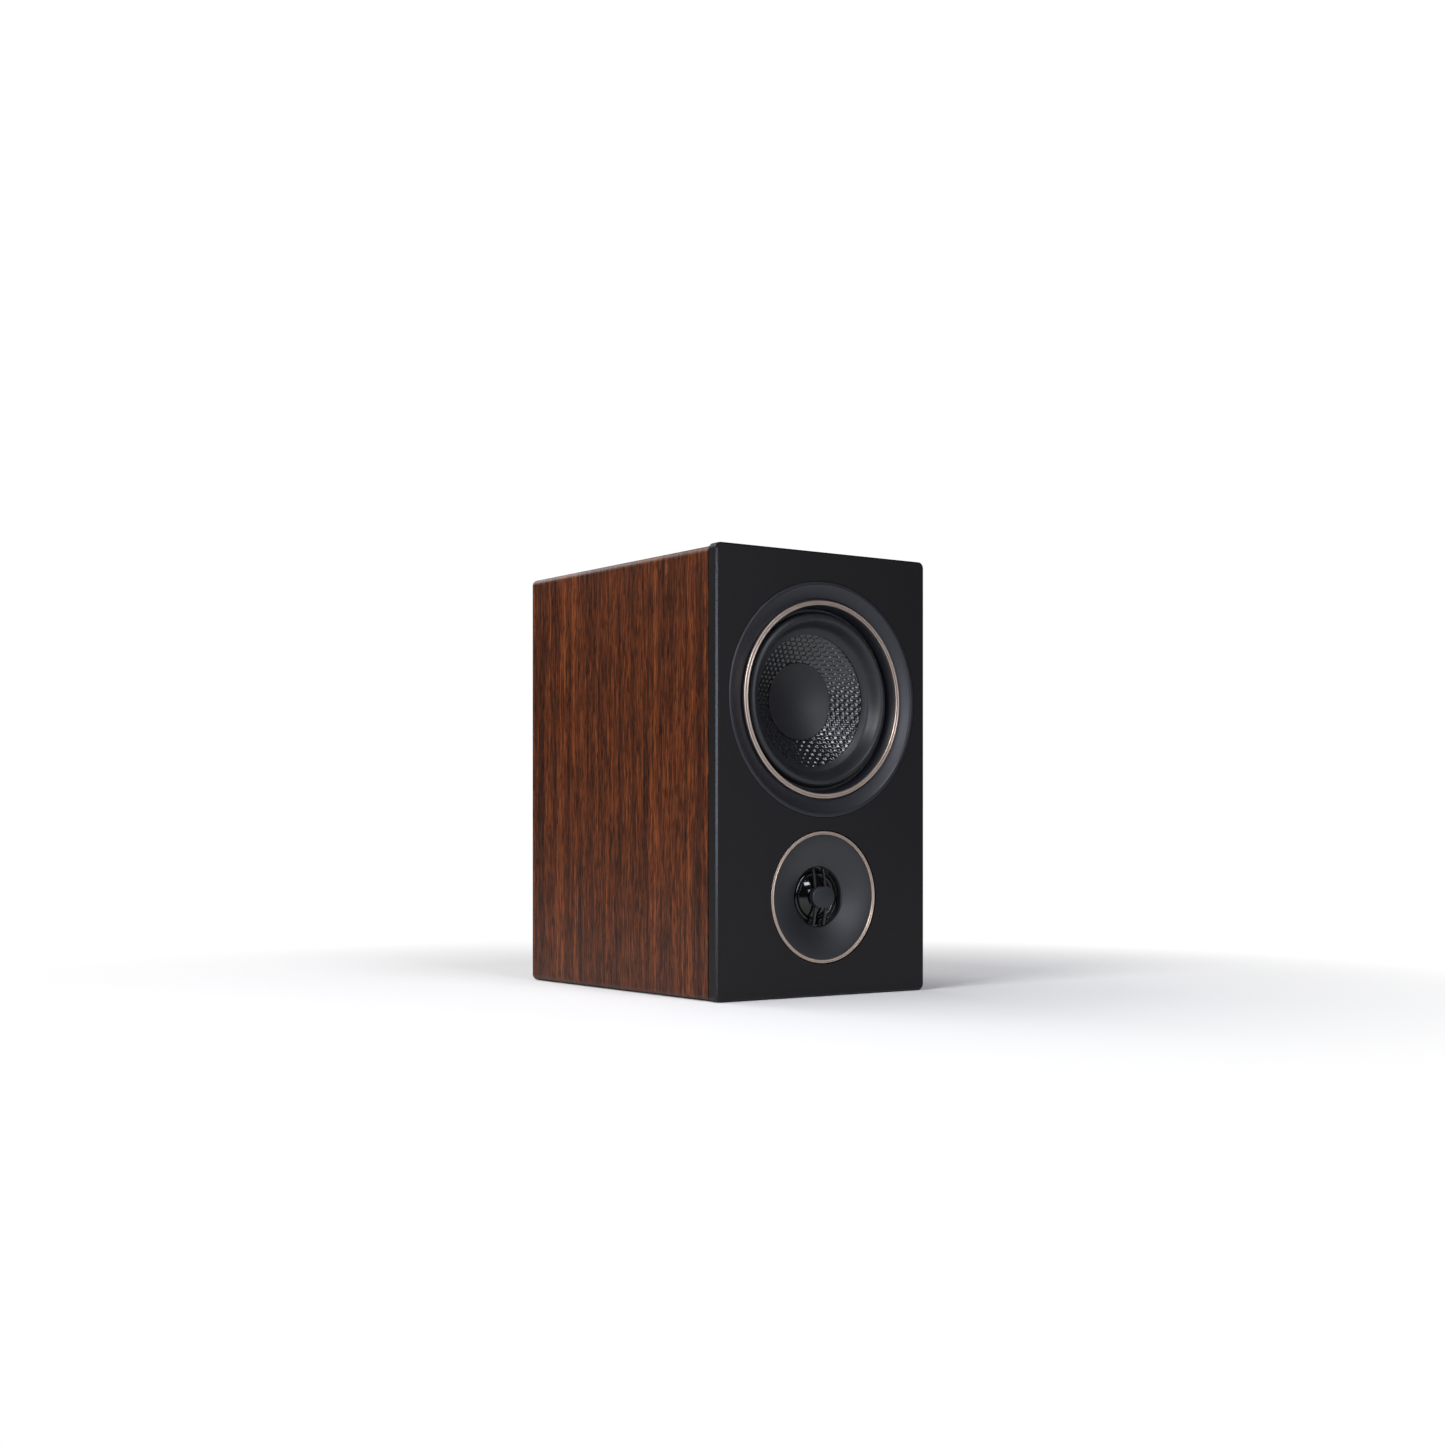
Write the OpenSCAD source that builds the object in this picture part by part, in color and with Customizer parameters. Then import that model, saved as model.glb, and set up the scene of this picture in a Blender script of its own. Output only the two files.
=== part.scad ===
// Compact two-way bookshelf loudspeaker, bass-reflex, passive.
// Units are millimetres. The front faces -Y, +Z is up.
// Origin: centre of the underside, half way between the baffle's face and the cabinet's rear edge.

/* [Enclosure] */
// Width of the front baffle
baffle_w = 126; // [122:1:170]
// Height of the front baffle
baffle_h = 211; // [205:1:280]
// Depth from the baffle's face to the cabinet's rear edge
enclosure_d = 168; // [160:1:260]
// Thickness of the baffle's front plate, which shows at the sides
plate_t = 6.2; // [5.5:0.1:6.6]
// Width of the shadow gap between the plate and the cabinet
gap_t = 2; // [1.2:0.1:2.4]
// Length of the baffle's plug inside the cabinet
plug_t = 9.8; // [8:0.1:14]
// Corner radius of the baffle, seen from the front
baffle_corner_r = 3; // [2:0.5:6]
// Chamfer round the baffle's front edge
baffle_chamfer = 0.8; // [0.4:0.1:1.5]
// Thickness of the cabinet boards
wall_t = 12; // [9:0.5:13]
// Radius of the cabinet's four long edges
edge_r = 3; // [2:0.5:6]
// Thickness of the laminate film
film_t = 0.5; // [0.3:0.1:0.8]
// Height of the bare strip at the cabinet's foot, below the film
foot_strip = 0.6; // [0.4:0.1:1.2]
// How far the cabinet's sides stand in from the baffle
side_inset = 1; // [0.5:0.1:2]
// How far the cabinet's top stands down from the baffle
top_inset = 0.8; // [0.4:0.1:2]
// How far the back panel is set in from the cabinet's rear edge
back_inset = 2; // [1:0.5:4]
// Thickness of the back panel
back_t = 12; // [10:0.5:15]
// Depth of the groove that holds the back panel
groove_h = 5; // [3:0.5:6]

/* [Woofer] */
// Height of the woofer's axis
woofer_z = 141; // [138:1:146]
// Outer radius of the dished bezel
bezel_r = 56; // [54.5:0.5:58]
// Outer radius of the metal accent ring
woofer_ring_r = 47.15; // [46.8:0.05:47.6]
// Width of the metal accent ring
woofer_ring_w = 2.25; // [1.6:0.05:2.6]
// Radius of the basket's round flange
flange_r = 48; // [47.5:0.1:48.5]
// Radius at which the four mounting screws sit
woofer_screw_pcr = 50; // [49:0.5:50.5]
// Depth of the basket flange behind the baffle's face
flange_d = 6.8; // [6.4:0.1:7.4]
// Radius of the cone's outer edge
cone_r = 34.4; // [33.5:0.1:35]
// Radius of the dust cap
cap_r = 18.6; // [15:0.1:21]
// Depth of the cone's outer edge behind the baffle's face
cone_d = 9.5; // [9:0.1:11]
// Rise of the cone's wall for each millimetre inwards
cone_slope = 0.63; // [0.5:0.01:0.7]
// Inner radius of the voice coil former
coil_r = 12.5; // [10:0.1:12.8]
// Radius of the ferrite magnet
magnet_r = 36; // [32:0.5:40]
// Thickness of the ferrite magnet
magnet_t = 12; // [9:0.5:16]
// Travel of the cone each way
cone_travel = 3; // [1:0.5:4]

/* [Tweeter] */
// Height of the tweeter's axis
tweeter_z = 47; // [46:0.5:48]
// Outer radius of the metal accent ring
tweeter_ring_r = 31.5; // [30:0.1:32]
// Width of the metal accent ring
tweeter_ring_w = 1.8; // [1.4:0.1:2.2]
// Radius of the dish's throat
throat_r = 14.1; // [13.9:0.1:15]
// Radius of the dome
dome_r = 9.9; // [9:0.1:10]
// Height of the dome
dome_h = 3.4; // [2.8:0.1:3.6]
// Travel of the dome each way
dome_travel = 0.25; // [0.1:0.05:0.3]
// Distance between the two ribs of the bridge
rib_gap = 6.1; // [5:0.1:7]
// Thickness of each rib
rib_t = 1; // [0.8:0.1:1.4]
// Width of the oval badge
badge_w = 13.2; // [11:0.1:15]
// Height of the oval badge
badge_h = 10.2; // [9:0.1:10.8]

/* [Rear] */
// Height of the port's axis
port_z = 140; // [132:1:141]
// Inner radius of the port
port_r = 15; // [12:0.5:17]
// Length of the port, from the back panel's face
port_l = 76; // [50:1:90]
// Height of the terminal cup's centre
cup_z = 58; // [50:1:70]
// Width of the terminal cup's flange
cup_w = 92; // [80:1:94]
// Height of the terminal cup's flange
cup_h = 58; // [50:1:64]
// Distance between the two binding posts
post_pitch = 19; // [19:0.5:24]
// Radius of the socket for a plug in each post
socket_r = 2; // [1.9:0.05:2.2]
// Radius of a binding post's thread
stud_r = 3.5; // [3.4:0.1:3.8]
// Radius of a binding post's knob
knob_r = 7; // [6.5:0.1:8.5]
// How far a knob unscrews
knob_travel = 5; // [4:0.5:6]
// Height of the wall keyhole's hanging point
keyhole_z = 186; // [184:1:187]
// Radius of the keyhole's entry
keyhole_r = 4.75; // [4.5:0.05:5]
// Width of the keyhole's slot
keyhole_slot_w = 5; // [4.6:0.1:5.2]

/* [Hidden] */
$fn = 96;

// Clearances
slip = 0.15;         // board or moulding in its cut-out, each side
hair = 0.05;         // parts that are glued or pressed together
bond = 0.1;          // glue line between a moving part and a suspension

// Enclosure
front_y = -enclosure_d / 2;
cabinet_w = baffle_w - 2 * side_inset;
cabinet_h = baffle_h - top_inset;
cabinet_d0 = plate_t + gap_t;
baffle_back_d = cabinet_d0 + plug_t;
inner_w = cabinet_w - 2 * wall_t;
inner_h = cabinet_h - 2 * wall_t;
back_face_d = enclosure_d - back_inset;
back_inside_d = back_face_d - back_t;
groove_h_used = min(groove_h, wall_t - 3);
gasket_inset = 2;

// Woofer
ring_seat_d = 1.2;
ring_face_d = -0.1;
bezel_rim_d = -0.3;
bezel_rim_w = 1.8;
bezel_seat_d = 3.6;
bezel_groove_w = 1.05;
bezel_groove_d = 2.6;
bezel_dish_d = 1.8;
skirt_top_r = woofer_ring_r - woofer_ring_w;
skirt_foot_r = skirt_top_r - 1.5;
skirt_out_r = 46;
flange_t = 1.2;
gasket_t = 0.8;
basket_seat_d = flange_d + flange_t + gasket_t;
woofer_hole_r = 44.8;
basket_top_r = 44;
basket_foot_r = 31;
basket_wall = 1.6;
basket_ledge_r = 40.8;
spider_shelf_d = 30.6;
shelf_t = 1.2;
shelf_in_r = 25.5;
basket_foot_d = 38.5;
basket_foot_t = 1.3;
basket_hole_r = 17;
window_w = 27;
window_d = [11, 27];
ear_r = 5;
screw_r = 1.5;
screw_head_r = 2.9;
screw_head_t = 2;
slot_l = 3.2;
slot_w = 0.8;
slot_d = 1.2;
surround_t = 0.7;
surround_lip_r = 42.8;
roll_out_r = 41.8;
roll_in_r = cone_r + 0.4;
surround_band_w = 2.8;
cone_t = 0.6;
cap_t = 0.5;
cap_sag = 4;
former_t = 0.4;
coil_t = 0.6;
top_plate_t = 5;
coil_len = top_plate_t + 2 * cone_travel - 0.5;
coil_gap = 0.5;
spider_t = 0.6;
spider_out_r = 29;
yoke_t = 5;
yoke_vent_r = 4;
magnet_bore_r = 16.5;
top_plate_r = 32;
magnet_d = basket_foot_d + top_plate_t;
yoke_d = magnet_d + magnet_t;
former_out_r = coil_r + former_t;
former_end_d = 47;
pole_r = coil_r - 0.4;
neck_r = former_out_r + hair;

// Tweeter
dish_edge_d = 0.7;
dish_lip_r = throat_r + 1.4;
dish_lip_d = 4.3;
faceplate_t = 4.6;
faceplate_back_d = 8;
faceplate_boss_r = 20;
tweeter_hole_r = 22;
boss_pcr = 25.5;
boss_r = 3.2;
boss_end_d = 14;
ring_gap = 0.4;
cup_flange_r = 19;
cup_flange_t = 2;
pot_r = 13.5;
pot_in_r = 10.75;
pot_end_d = 16;
pot_floor_t = 2.4;
rim_t = 0.5;
rim_r = [12.4, 13.8];
dome_base_d = 7;
dome_t = 0.15;
t_former_t = 0.2;
t_coil_t = 0.35;
pole_plate_t = 2;
rear_cap_r = 16;
rear_cap_end_d = 21;
badge_face_d = 0.3;
badge_t = 1.3;
hub_back_d = 3.1;
rib_crest_d = 2;
rib_fall = 2.4;
rib_back_d = 2.9;
rib_back_fall = 3.3;

// Rear
cup_flange_d = 2;
well_w = cup_w - 16;
well_h = cup_h - 18;
well_wall = 2;
well_depth = 10;
cup_floor_d = back_face_d - well_depth;
cup_floor_t = 3;
collar_t = 3;
collar_r = 6.2;
stud_l = 20;
socket_l = 14.5;
wire_hole_r = 1.5;
wire_hole_u = knob_travel - wire_hole_r - 0.5;
knob_seat = 0.3;
knob_lip_t = 1.8;
knob_l = stud_l - knob_seat + knob_lip_t + 0.2;
knob_bore_r = stud_r + 0.06;
knob_mouth_r = socket_r + 0.6;
ring_u = 2;
ring_l = 2.6;
groove_r = knob_r - 0.7;
flute_r = 0.9;
shank_r = 3;
shank_end_d = 144;
washer_t = 1;
tag_t = 0.8;
tag_eye_r = 5.4;
tag_w = 4;
tag_l = 15;
nut_t = 4.5;
nut_r = 5.8;
rear_screw_r = 1.5;
rear_screw_head_r = 3;
port_wall = 2;
port_flange_r = port_r + 10;
flare_r = 7;
keyhole_plate_w = 44;
keyhole_plate_h = 26;
keyhole_plate_t = 1.2;
keyhole_drop = 9;
keyhole_pocket_d = 8;
keyhole_screw_x = 16;

// Crossover
board_w = 76;
board_l = 58;
board_t = 1.6;
board_d = 80;
standoff_h = 6;
board_z = wall_t + standoff_h;
board_top = board_z + board_t;
cheek_t = 1.2;
hub_t = 1.5;
big_choke = [-17, 22];
post_y = front_y + cup_floor_d;

// ---------- shared shapes ----------

// Children keep x, take their second axis as height, and run from depth d0 to d1 behind the baffle's face.
module slab(d0, d1)
    translate([0, front_y + d1, 0]) rotate([90, 0, 0]) linear_extrude(d1 - d0) children();

// Children's +Z points into the cabinet, from the baffle's face, on a driver's axis.
module on_axis(z) translate([0, front_y, z]) rotate([-90, 0, 0]) children();

module turned(points) rotate_extrude() polygon(points);

module tube(r_out, r_in, d0, d1) turned([[r_in, d0], [r_out, d0], [r_out, d1], [r_in, d1]]);

module rounded_rect(w, h, r) {
    square([w - 2 * r, h], center = true);
    square([w, h - 2 * r], center = true);
    for (x = [-1, 1], y = [-1, 1]) translate([x * (w / 2 - r), y * (h / 2 - r)]) circle(r);
}

module oval(w, h) {
    square([w - h, h], center = true);
    for (x = [-1, 1]) translate([x * (w - h) / 2, 0]) circle(h / 2);
}

// Points of an arc, from angle a0 to a1, in n steps.
function arc(cx, cy, r, a0, a1, n = 8) =
    [for (i = [0:n]) let (a = a0 + (a1 - a0) * i / n) [cx + r * cos(a), cy + r * sin(a)]];

// Depth added by a dome of the given base radius and height at radius r from its crown.
function dome_sag(base, h, r) =
    let (big = (base * base + h * h) / (2 * h)) big - sqrt(big * big - r * r);

function reversed(p) = [for (i = [len(p) - 1:-1:0]) p[i]];

// A shell of even thickness t, between a front line and the same line moved back.
function skin(front, t) = concat(front, [for (q = reversed(front)) q + [0, t]]);

// ---------- leads ----------

function unit(v) = v / norm(v);

// A smooth curve through the points p.
function curve(p, steps = 4) = concat([
    for (i = [0:len(p) - 2], s = [0:steps - 1])
        let (
            a = p[max(i - 1, 0)], b = p[i], c = p[i + 1], d = p[min(i + 2, len(p) - 1)], t = s / steps
        )
        0.5 * (2 * b + (c - a) * t + (2 * a - 5 * b + 4 * c - d) * t * t
            + (3 * b - a - 3 * c + d) * t * t * t)
], [p[len(p) - 1]]);

function tangents(p) = [
    for (i = [0:len(p) - 1]) unit(p[min(i + 1, len(p) - 1)] - p[max(i - 1, 0)])
];

function squared(n, t) = unit(n - (n * t) * t);

// A side vector for each ring, carried along the curve so that the rings don't twist.
function side_vectors(t, start) = [
    for (i = 0, n = squared(start, t[0]); i < len(t);
        i = i + 1, n = i < len(t) ? squared(n, t[i]) : n) n
];

// A round lead of radius r along the points p.
module lead(p, r, sides = 8) {
    q = curve(p);
    t = tangents(q);
    n = side_vectors(t, [1, 0.1, 0.2]);
    rings = len(q);
    points = [
        for (i = [0:rings - 1], k = [0:sides - 1])
            let (a = 360 * k / sides) q[i] + r * (cos(a) * n[i] + sin(a) * cross(t[i], n[i]))
    ];
    walls = [
        for (i = [0:rings - 2], k = [0:sides - 1])
            let (j = (k + 1) % sides)
            [i * sides + j, (i + 1) * sides + j, (i + 1) * sides + k, i * sides + k]
    ];
    near = [[for (k = [0:sides - 1]) k]];
    far = [[for (k = [sides - 1:-1:0]) (rings - 1) * sides + k]];
    polyhedron(points, concat(near, walls, far));
}

// ---------- enclosure ----------

module cabinet_outline() translate([0, cabinet_h / 2]) rounded_rect(cabinet_w, cabinet_h, edge_r);

module film_outline() difference() {
    cabinet_outline();
    translate([0, cabinet_h / 2])
        rounded_rect(cabinet_w - 2 * film_t, cabinet_h - 2 * film_t, edge_r - film_t);
    translate([-cabinet_w, -1]) square([2 * cabinet_w, 1 + foot_strip]);
}

module boards_outline() difference() {
    cabinet_outline();
    film_outline();
}

module walnut_wrap() color("saddlebrown") slab(cabinet_d0, enclosure_d) film_outline();

// The groove for the back panel, or the panel itself with a clearance all round.
module groove_outline(clearance) translate([0, cabinet_h / 2]) square([
    inner_w + 2 * groove_h_used - 2 * clearance, inner_h + 2 * groove_h_used - 2 * clearance
], center = true);

// One board of the box, cut out of the whole by the outline of its mitres.
module board(outline) color("sienna") difference() {
    slab(cabinet_d0, enclosure_d) intersection() {
        boards_outline();
        polygon(outline);
    }
    slab(back_inside_d, back_face_d) groove_outline(0);
}

function side_mitres(s) = [
    [s * cabinet_w / 2, 0], [s * inner_w / 2, wall_t],
    [s * inner_w / 2, cabinet_h - wall_t], [s * cabinet_w / 2, cabinet_h]
];

function level_mitres(z_out, z_in) = [
    [-cabinet_w / 2, z_out], [cabinet_w / 2, z_out], [inner_w / 2, z_in], [-inner_w / 2, z_in]
];

module left_panel() board(side_mitres(-1));
module right_panel() board(side_mitres(1));
module top_panel() board(level_mitres(cabinet_h, cabinet_h - wall_t));
module bottom_panel() board(level_mitres(0, wall_t));

// The front plate, face down at 0, with a chamfer c all round its face.
module plate(w, h, r, t, c) {
    translate([0, 0, c]) linear_extrude(t - c) rounded_rect(w, h, r);
    rotate([90, 0, 90]) linear_extrude(w - 2 * r, center = true)
        polygon([[-h / 2 + c, 0], [h / 2 - c, 0], [h / 2, c], [-h / 2, c]]);
    rotate([90, 0, 0]) linear_extrude(h - 2 * r, center = true)
        polygon([[-w / 2 + c, 0], [w / 2 - c, 0], [w / 2, c], [-w / 2, c]]);
    for (x = [-1, 1], y = [-1, 1])
        translate([x * (w / 2 - r), y * (h / 2 - r), 0]) cylinder(r1 = r - c, r2 = r, h = c);
}

module plug_outline(clearance) translate([0, cabinet_h / 2])
    square([inner_w - 2 * clearance, inner_h - 2 * clearance], center = true);

// The basket's flange with its four ears, grown by e.
module flange_outline(e = 0) {
    circle(flange_r + e);
    for (a = [45:90:315]) rotate(a) {
        translate([woofer_screw_pcr, 0]) circle(ear_r + e);
        translate([woofer_screw_pcr - 10, -ear_r - e]) square([10, 2 * (ear_r + e)]);
    }
}

module at_four(r) for (a = [45:90:315]) rotate(a) translate([r, 0, 0]) children();

module at_woofer_screws() at_four(woofer_screw_pcr) children();

module at_tweeter_screws() at_four(boss_pcr) children();

module front_baffle() color([0.13, 0.13, 0.14]) difference() {
    union() {
        on_axis(baffle_h / 2) plate(baffle_w, baffle_h, baffle_corner_r, plate_t, baffle_chamfer);
        slab(plate_t - 1, baffle_back_d) plug_outline(slip);
    }
    on_axis(woofer_z) {
        translate([0, 0, -1]) cylinder(r = bezel_r + 0.2, h = bezel_seat_d + 1);
        translate([0, 0, bezel_seat_d - 1])
            linear_extrude(basket_seat_d - bezel_seat_d + 1) flange_outline(0.2);
        cylinder(r = woofer_hole_r, h = baffle_back_d + 1);
        at_woofer_screws() cylinder(r = screw_r + hair, h = baffle_back_d - 0.5);
    }
    on_axis(tweeter_z) {
        translate([0, 0, -1]) cylinder(r = tweeter_ring_r + ring_gap, h = faceplate_t + 1);
        cylinder(r = tweeter_hole_r, h = baffle_back_d + 1);
        at_tweeter_screws() cylinder(r = boss_r + 0.3, h = baffle_back_d + 1);
    }
}

module baffle_gasket() color("black") slab(plate_t, cabinet_d0) difference() {
    translate([0, cabinet_h / 2])
        square([cabinet_w - 2 * gasket_inset, cabinet_h - 2 * gasket_inset], center = true);
    plug_outline(slip - bond);
}

module at_cup_screws() for (x = [-1, 1], z = [-1, 1])
    translate([x * (cup_w / 2 - 4.2), cup_z + z * (cup_h / 2 - 4.6)]) children();

module at_keyhole_screws() for (x = [-1, 1])
    translate([x * keyhole_screw_x, keyhole_z - keyhole_drop / 2]) children();

// The hollow of the terminal cup, or what goes round it, with e more all round.
module well_outline(e) translate([0, cup_z]) rounded_rect(well_w + 2 * e, well_h + 2 * e, 3);

module keyhole_outline() {
    translate([0, keyhole_z - keyhole_drop]) circle(keyhole_r);
    translate([0, keyhole_z]) circle(keyhole_slot_w / 2);
    translate([-keyhole_slot_w / 2, keyhole_z - keyhole_drop]) square([keyhole_slot_w, keyhole_drop]);
}

module keyhole_plate_outline(e = 0) translate([0, keyhole_z - keyhole_drop / 2])
    rounded_rect(keyhole_plate_w + 2 * e, keyhole_plate_h + 2 * e, 3);

module back_panel() color([0.1, 0.1, 0.1]) difference() {
    slab(back_inside_d, back_face_d) groove_outline(slip);
    slab(back_inside_d - 1, back_face_d + 1) {
        translate([0, port_z]) circle(port_r + port_wall + slip);
        well_outline(well_wall + slip);
    }
    slab(back_inside_d + 3, back_face_d + 1) {
        at_cup_screws() circle(rear_screw_r + hair);
        at_keyhole_screws() circle(rear_screw_r + hair);
    }
    slab(back_face_d - keyhole_plate_t, back_face_d + 1) keyhole_plate_outline(slip);
    slab(back_face_d - keyhole_pocket_d, back_face_d + 1) {
        translate([0, keyhole_z - keyhole_drop]) circle(keyhole_r + 1);
        translate([0, keyhole_z]) circle(keyhole_r + 1);
        translate([-keyhole_r - 1, keyhole_z - keyhole_drop]) square([2 * keyhole_r + 2, keyhole_drop]);
    }
}

// ---------- woofer ----------

module woofer_bezel() color([0.16, 0.17, 0.19]) on_axis(woofer_z) turned(concat(
    [
        [skirt_foot_r, flange_d], [skirt_top_r, ring_seat_d],
        [woofer_ring_r, ring_seat_d], [woofer_ring_r, bezel_groove_d],
        [woofer_ring_r + bezel_groove_w, bezel_groove_d]
    ],
    // The dish rises slowly from the groove, then faster towards the rim.
    [
        for (i = [0:6])
            let (s = i / 6, r0 = woofer_ring_r + bezel_groove_w, r1 = bezel_r - bezel_rim_w - 0.4)
            [r0 + (r1 - r0) * s, bezel_dish_d * (1 - pow(s, 1.4)) + 0.1 * s]
    ],
    [
        [bezel_r - bezel_rim_w, bezel_rim_d], [bezel_r - 0.3, bezel_rim_d], [bezel_r, bezel_rim_d + 0.3],
        [bezel_r, bezel_seat_d], [skirt_out_r, bezel_seat_d], [skirt_out_r, flange_d]
    ]
));

// A flat metal ring with its two front edges broken.
module accent_ring(r_out, w, face_d, seat_d, c = 0.35) turned([
    [r_out - w, seat_d], [r_out - w, face_d + c], [r_out - w + c, face_d],
    [r_out - c, face_d], [r_out, face_d + c], [r_out, seat_d]
]);

module woofer_accent_ring() color([0.68, 0.6, 0.55]) on_axis(woofer_z)
    accent_ring(woofer_ring_r - hair, woofer_ring_w, ring_face_d, ring_seat_d);

module woofer_basket() color([0.2, 0.2, 0.2]) on_axis(woofer_z) difference() {
    drop = (basket_top_r - basket_foot_r) / (spider_shelf_d + shelf_t - flange_d - flange_t);
    top_d = flange_d + flange_t;
    union() {
        translate([0, 0, flange_d]) linear_extrude(flange_t) difference() {
            flange_outline();
            circle(basket_ledge_r);
        }
        turned([
            [basket_top_r - basket_wall, top_d - 0.5], [basket_top_r, top_d - 0.5], [basket_top_r, top_d],
            [basket_foot_r, spider_shelf_d + shelf_t], [basket_foot_r, basket_foot_d],
            [basket_hole_r, basket_foot_d], [basket_hole_r, basket_foot_d - basket_foot_t],
            [basket_foot_r - 1.5, basket_foot_d - basket_foot_t],
            [basket_foot_r - 1.5, spider_shelf_d + shelf_t],
            [shelf_in_r, spider_shelf_d + shelf_t], [shelf_in_r, spider_shelf_d],
            [basket_top_r - basket_wall - drop * (spider_shelf_d - top_d), spider_shelf_d],
            [basket_top_r - basket_wall, top_d]
        ]);
    }
    for (a = [30:60:330]) rotate(a) translate([20, -window_w / 2, window_d[0]])
        cube([40, window_w, window_d[1] - window_d[0]]);
    at_woofer_screws() cylinder(r = screw_r + 0.4, h = basket_seat_d);
}

module woofer_gasket() color("black") on_axis(woofer_z) translate([0, 0, flange_d + flange_t])
    linear_extrude(gasket_t) difference() {
        flange_outline();
        circle(woofer_hole_r + 0.2);
        for (a = [45:90:315]) rotate(a) translate([woofer_screw_pcr, 0]) circle(screw_r + 0.4);
    }

module woofer_screws() color([0.15, 0.15, 0.15]) on_axis(woofer_z) at_woofer_screws() difference() {
    union() {
        translate([0, 0, flange_d - screw_head_t]) cylinder(r = screw_head_r, h = screw_head_t);
        translate([0, 0, flange_d - hair]) cylinder(r = screw_r, h = baffle_back_d - flange_d - 1);
    }
    for (a = [0, 90]) rotate(a) translate([-slot_l / 2, -slot_w / 2, flange_d - screw_head_t - 1])
        cube([slot_l, slot_w, 1 + slot_d]);
}

// The half-roll from the flat lip on the basket to the band glued on the cone, t behind its face.
function surround_line(t) = let (
    lip_d = flange_d - surround_t,
    band_d = cone_d - surround_t - bond,
    mid_r = (roll_out_r + roll_in_r) / 2,
    half = (roll_out_r - roll_in_r) / 2,
    band_in_r = cone_r - surround_band_w
) concat(
    [[surround_lip_r, lip_d + t], [roll_out_r - t, lip_d + t]],
    arc(mid_r, lip_d, half - t, -6, -180, 14),
    [
        [cone_r + 0.1 + t, band_d + t], [cone_r, band_d + t],
        [band_in_r, band_d + (cone_r - band_in_r) * cone_slope + t]
    ]
);

module woofer_surround() color([0.12, 0.12, 0.13]) on_axis(woofer_z)
    turned(concat(surround_line(0), reversed(surround_line(surround_t))));

function cone_front_d(r) = cone_d + (cone_r - r) * cone_slope;

module woofer_cone() color([0.14, 0.14, 0.15]) on_axis(woofer_z)
    turned(skin([[cone_r, cone_front_d(cone_r)], [neck_r, cone_front_d(neck_r)]], cone_t));

cap_edge_d = cone_front_d(cap_r) - cap_t - 0.02;

module woofer_dust_cap() color([0.14, 0.14, 0.16]) on_axis(woofer_z) turned(skin(
    [for (i = [0:8]) let (r = cap_r * (1 - i / 8)) [r, cap_edge_d + cap_sag * (1 - pow(r / cap_r, 2))]],
    cap_t
));

former_top_d = cap_edge_d + cap_t + cap_sag * (1 - pow(former_out_r / cap_r, 2)) + 0.8;

module woofer_coil_former() color([0.75, 0.6, 0.35]) on_axis(woofer_z)
    tube(former_out_r, coil_r, former_top_d, former_end_d);

module woofer_voice_coil() color([0.72, 0.4, 0.2]) on_axis(woofer_z)
    tube(former_out_r + coil_t, former_out_r + hair / 5, former_end_d - 0.5 - coil_len, former_end_d - 0.5);

// Corrugated disc between the former and the basket's shelf.
module woofer_spider() color([0.75, 0.65, 0.4]) on_axis(woofer_z) {
    in_r = former_out_r + bond;
    flat_r = shelf_in_r + 0.5;
    waves = 4;
    top_d = spider_shelf_d - spider_t;
    turned(skin(concat(
        [[spider_out_r, top_d]],
        [
            for (i = [0:waves * 6]) let (s = i / (waves * 6))
                [flat_r + (in_r + 0.8 - flat_r) * s, top_d - 0.9 * sin(360 * waves * s)]
        ],
        [[in_r, top_d]]
    ), spider_t));
}

module woofer_top_plate() color("silver") on_axis(woofer_z)
    tube(top_plate_r, former_out_r + coil_t + coil_gap, basket_foot_d, magnet_d);

module woofer_magnet() color([0.25, 0.25, 0.27]) on_axis(woofer_z)
    tube(magnet_r, magnet_bore_r, magnet_d, yoke_d);

module woofer_yoke() color("silver") on_axis(woofer_z) turned([
    [yoke_vent_r, basket_foot_d - 0.5], [pole_r, basket_foot_d - 0.5], [pole_r, yoke_d],
    [magnet_r - 2, yoke_d], [magnet_r - 2, yoke_d + yoke_t - 1], [magnet_r - 3, yoke_d + yoke_t],
    [yoke_vent_r, yoke_d + yoke_t]
]);

tag_x = 5;
strip_d = [spider_shelf_d + shelf_t + 0.2, basket_foot_d - 0.2];
strip_y = [basket_foot_r + hair, basket_foot_r + 1.3];
tag_y = strip_y[1] + 8;

module woofer_terminals() color([0.5, 0.35, 0.2]) on_axis(woofer_z) {
    translate([-8.5, strip_y[0], strip_d[0]]) cube([17, strip_y[1] - strip_y[0], strip_d[1] - strip_d[0]]);
    for (x = [-tag_x, tag_x]) translate([x - 2.4, strip_y[1] - 0.5, (strip_d[0] + strip_d[1]) / 2 - 0.4])
        cube([4.8, 8.5, 0.8]);
}

module woofer_tinsel_leads() color([0.75, 0.6, 0.4]) on_axis(woofer_z) for (s = [-1, 1])
    lead([
        [s * tag_x, strip_y[1] + 2.2, strip_d[0] + 1.6],
        [s * tag_x, strip_y[1] + 3.4, strip_d[0] - 1.5],
        [s * 4.8, strip_y[1] + 3.6, strip_d[0] - 5],
        [s * 4.4, strip_y[1] - 1, strip_d[0] - 7.6],
        [s * 4, 26, 25.5],
        [s * 3.6, 21, 25],
        [s * 3.4, 16.5, cone_front_d(16.5) + cone_t + 0.9]
    ], 0.5);

// ---------- tweeter ----------

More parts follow.
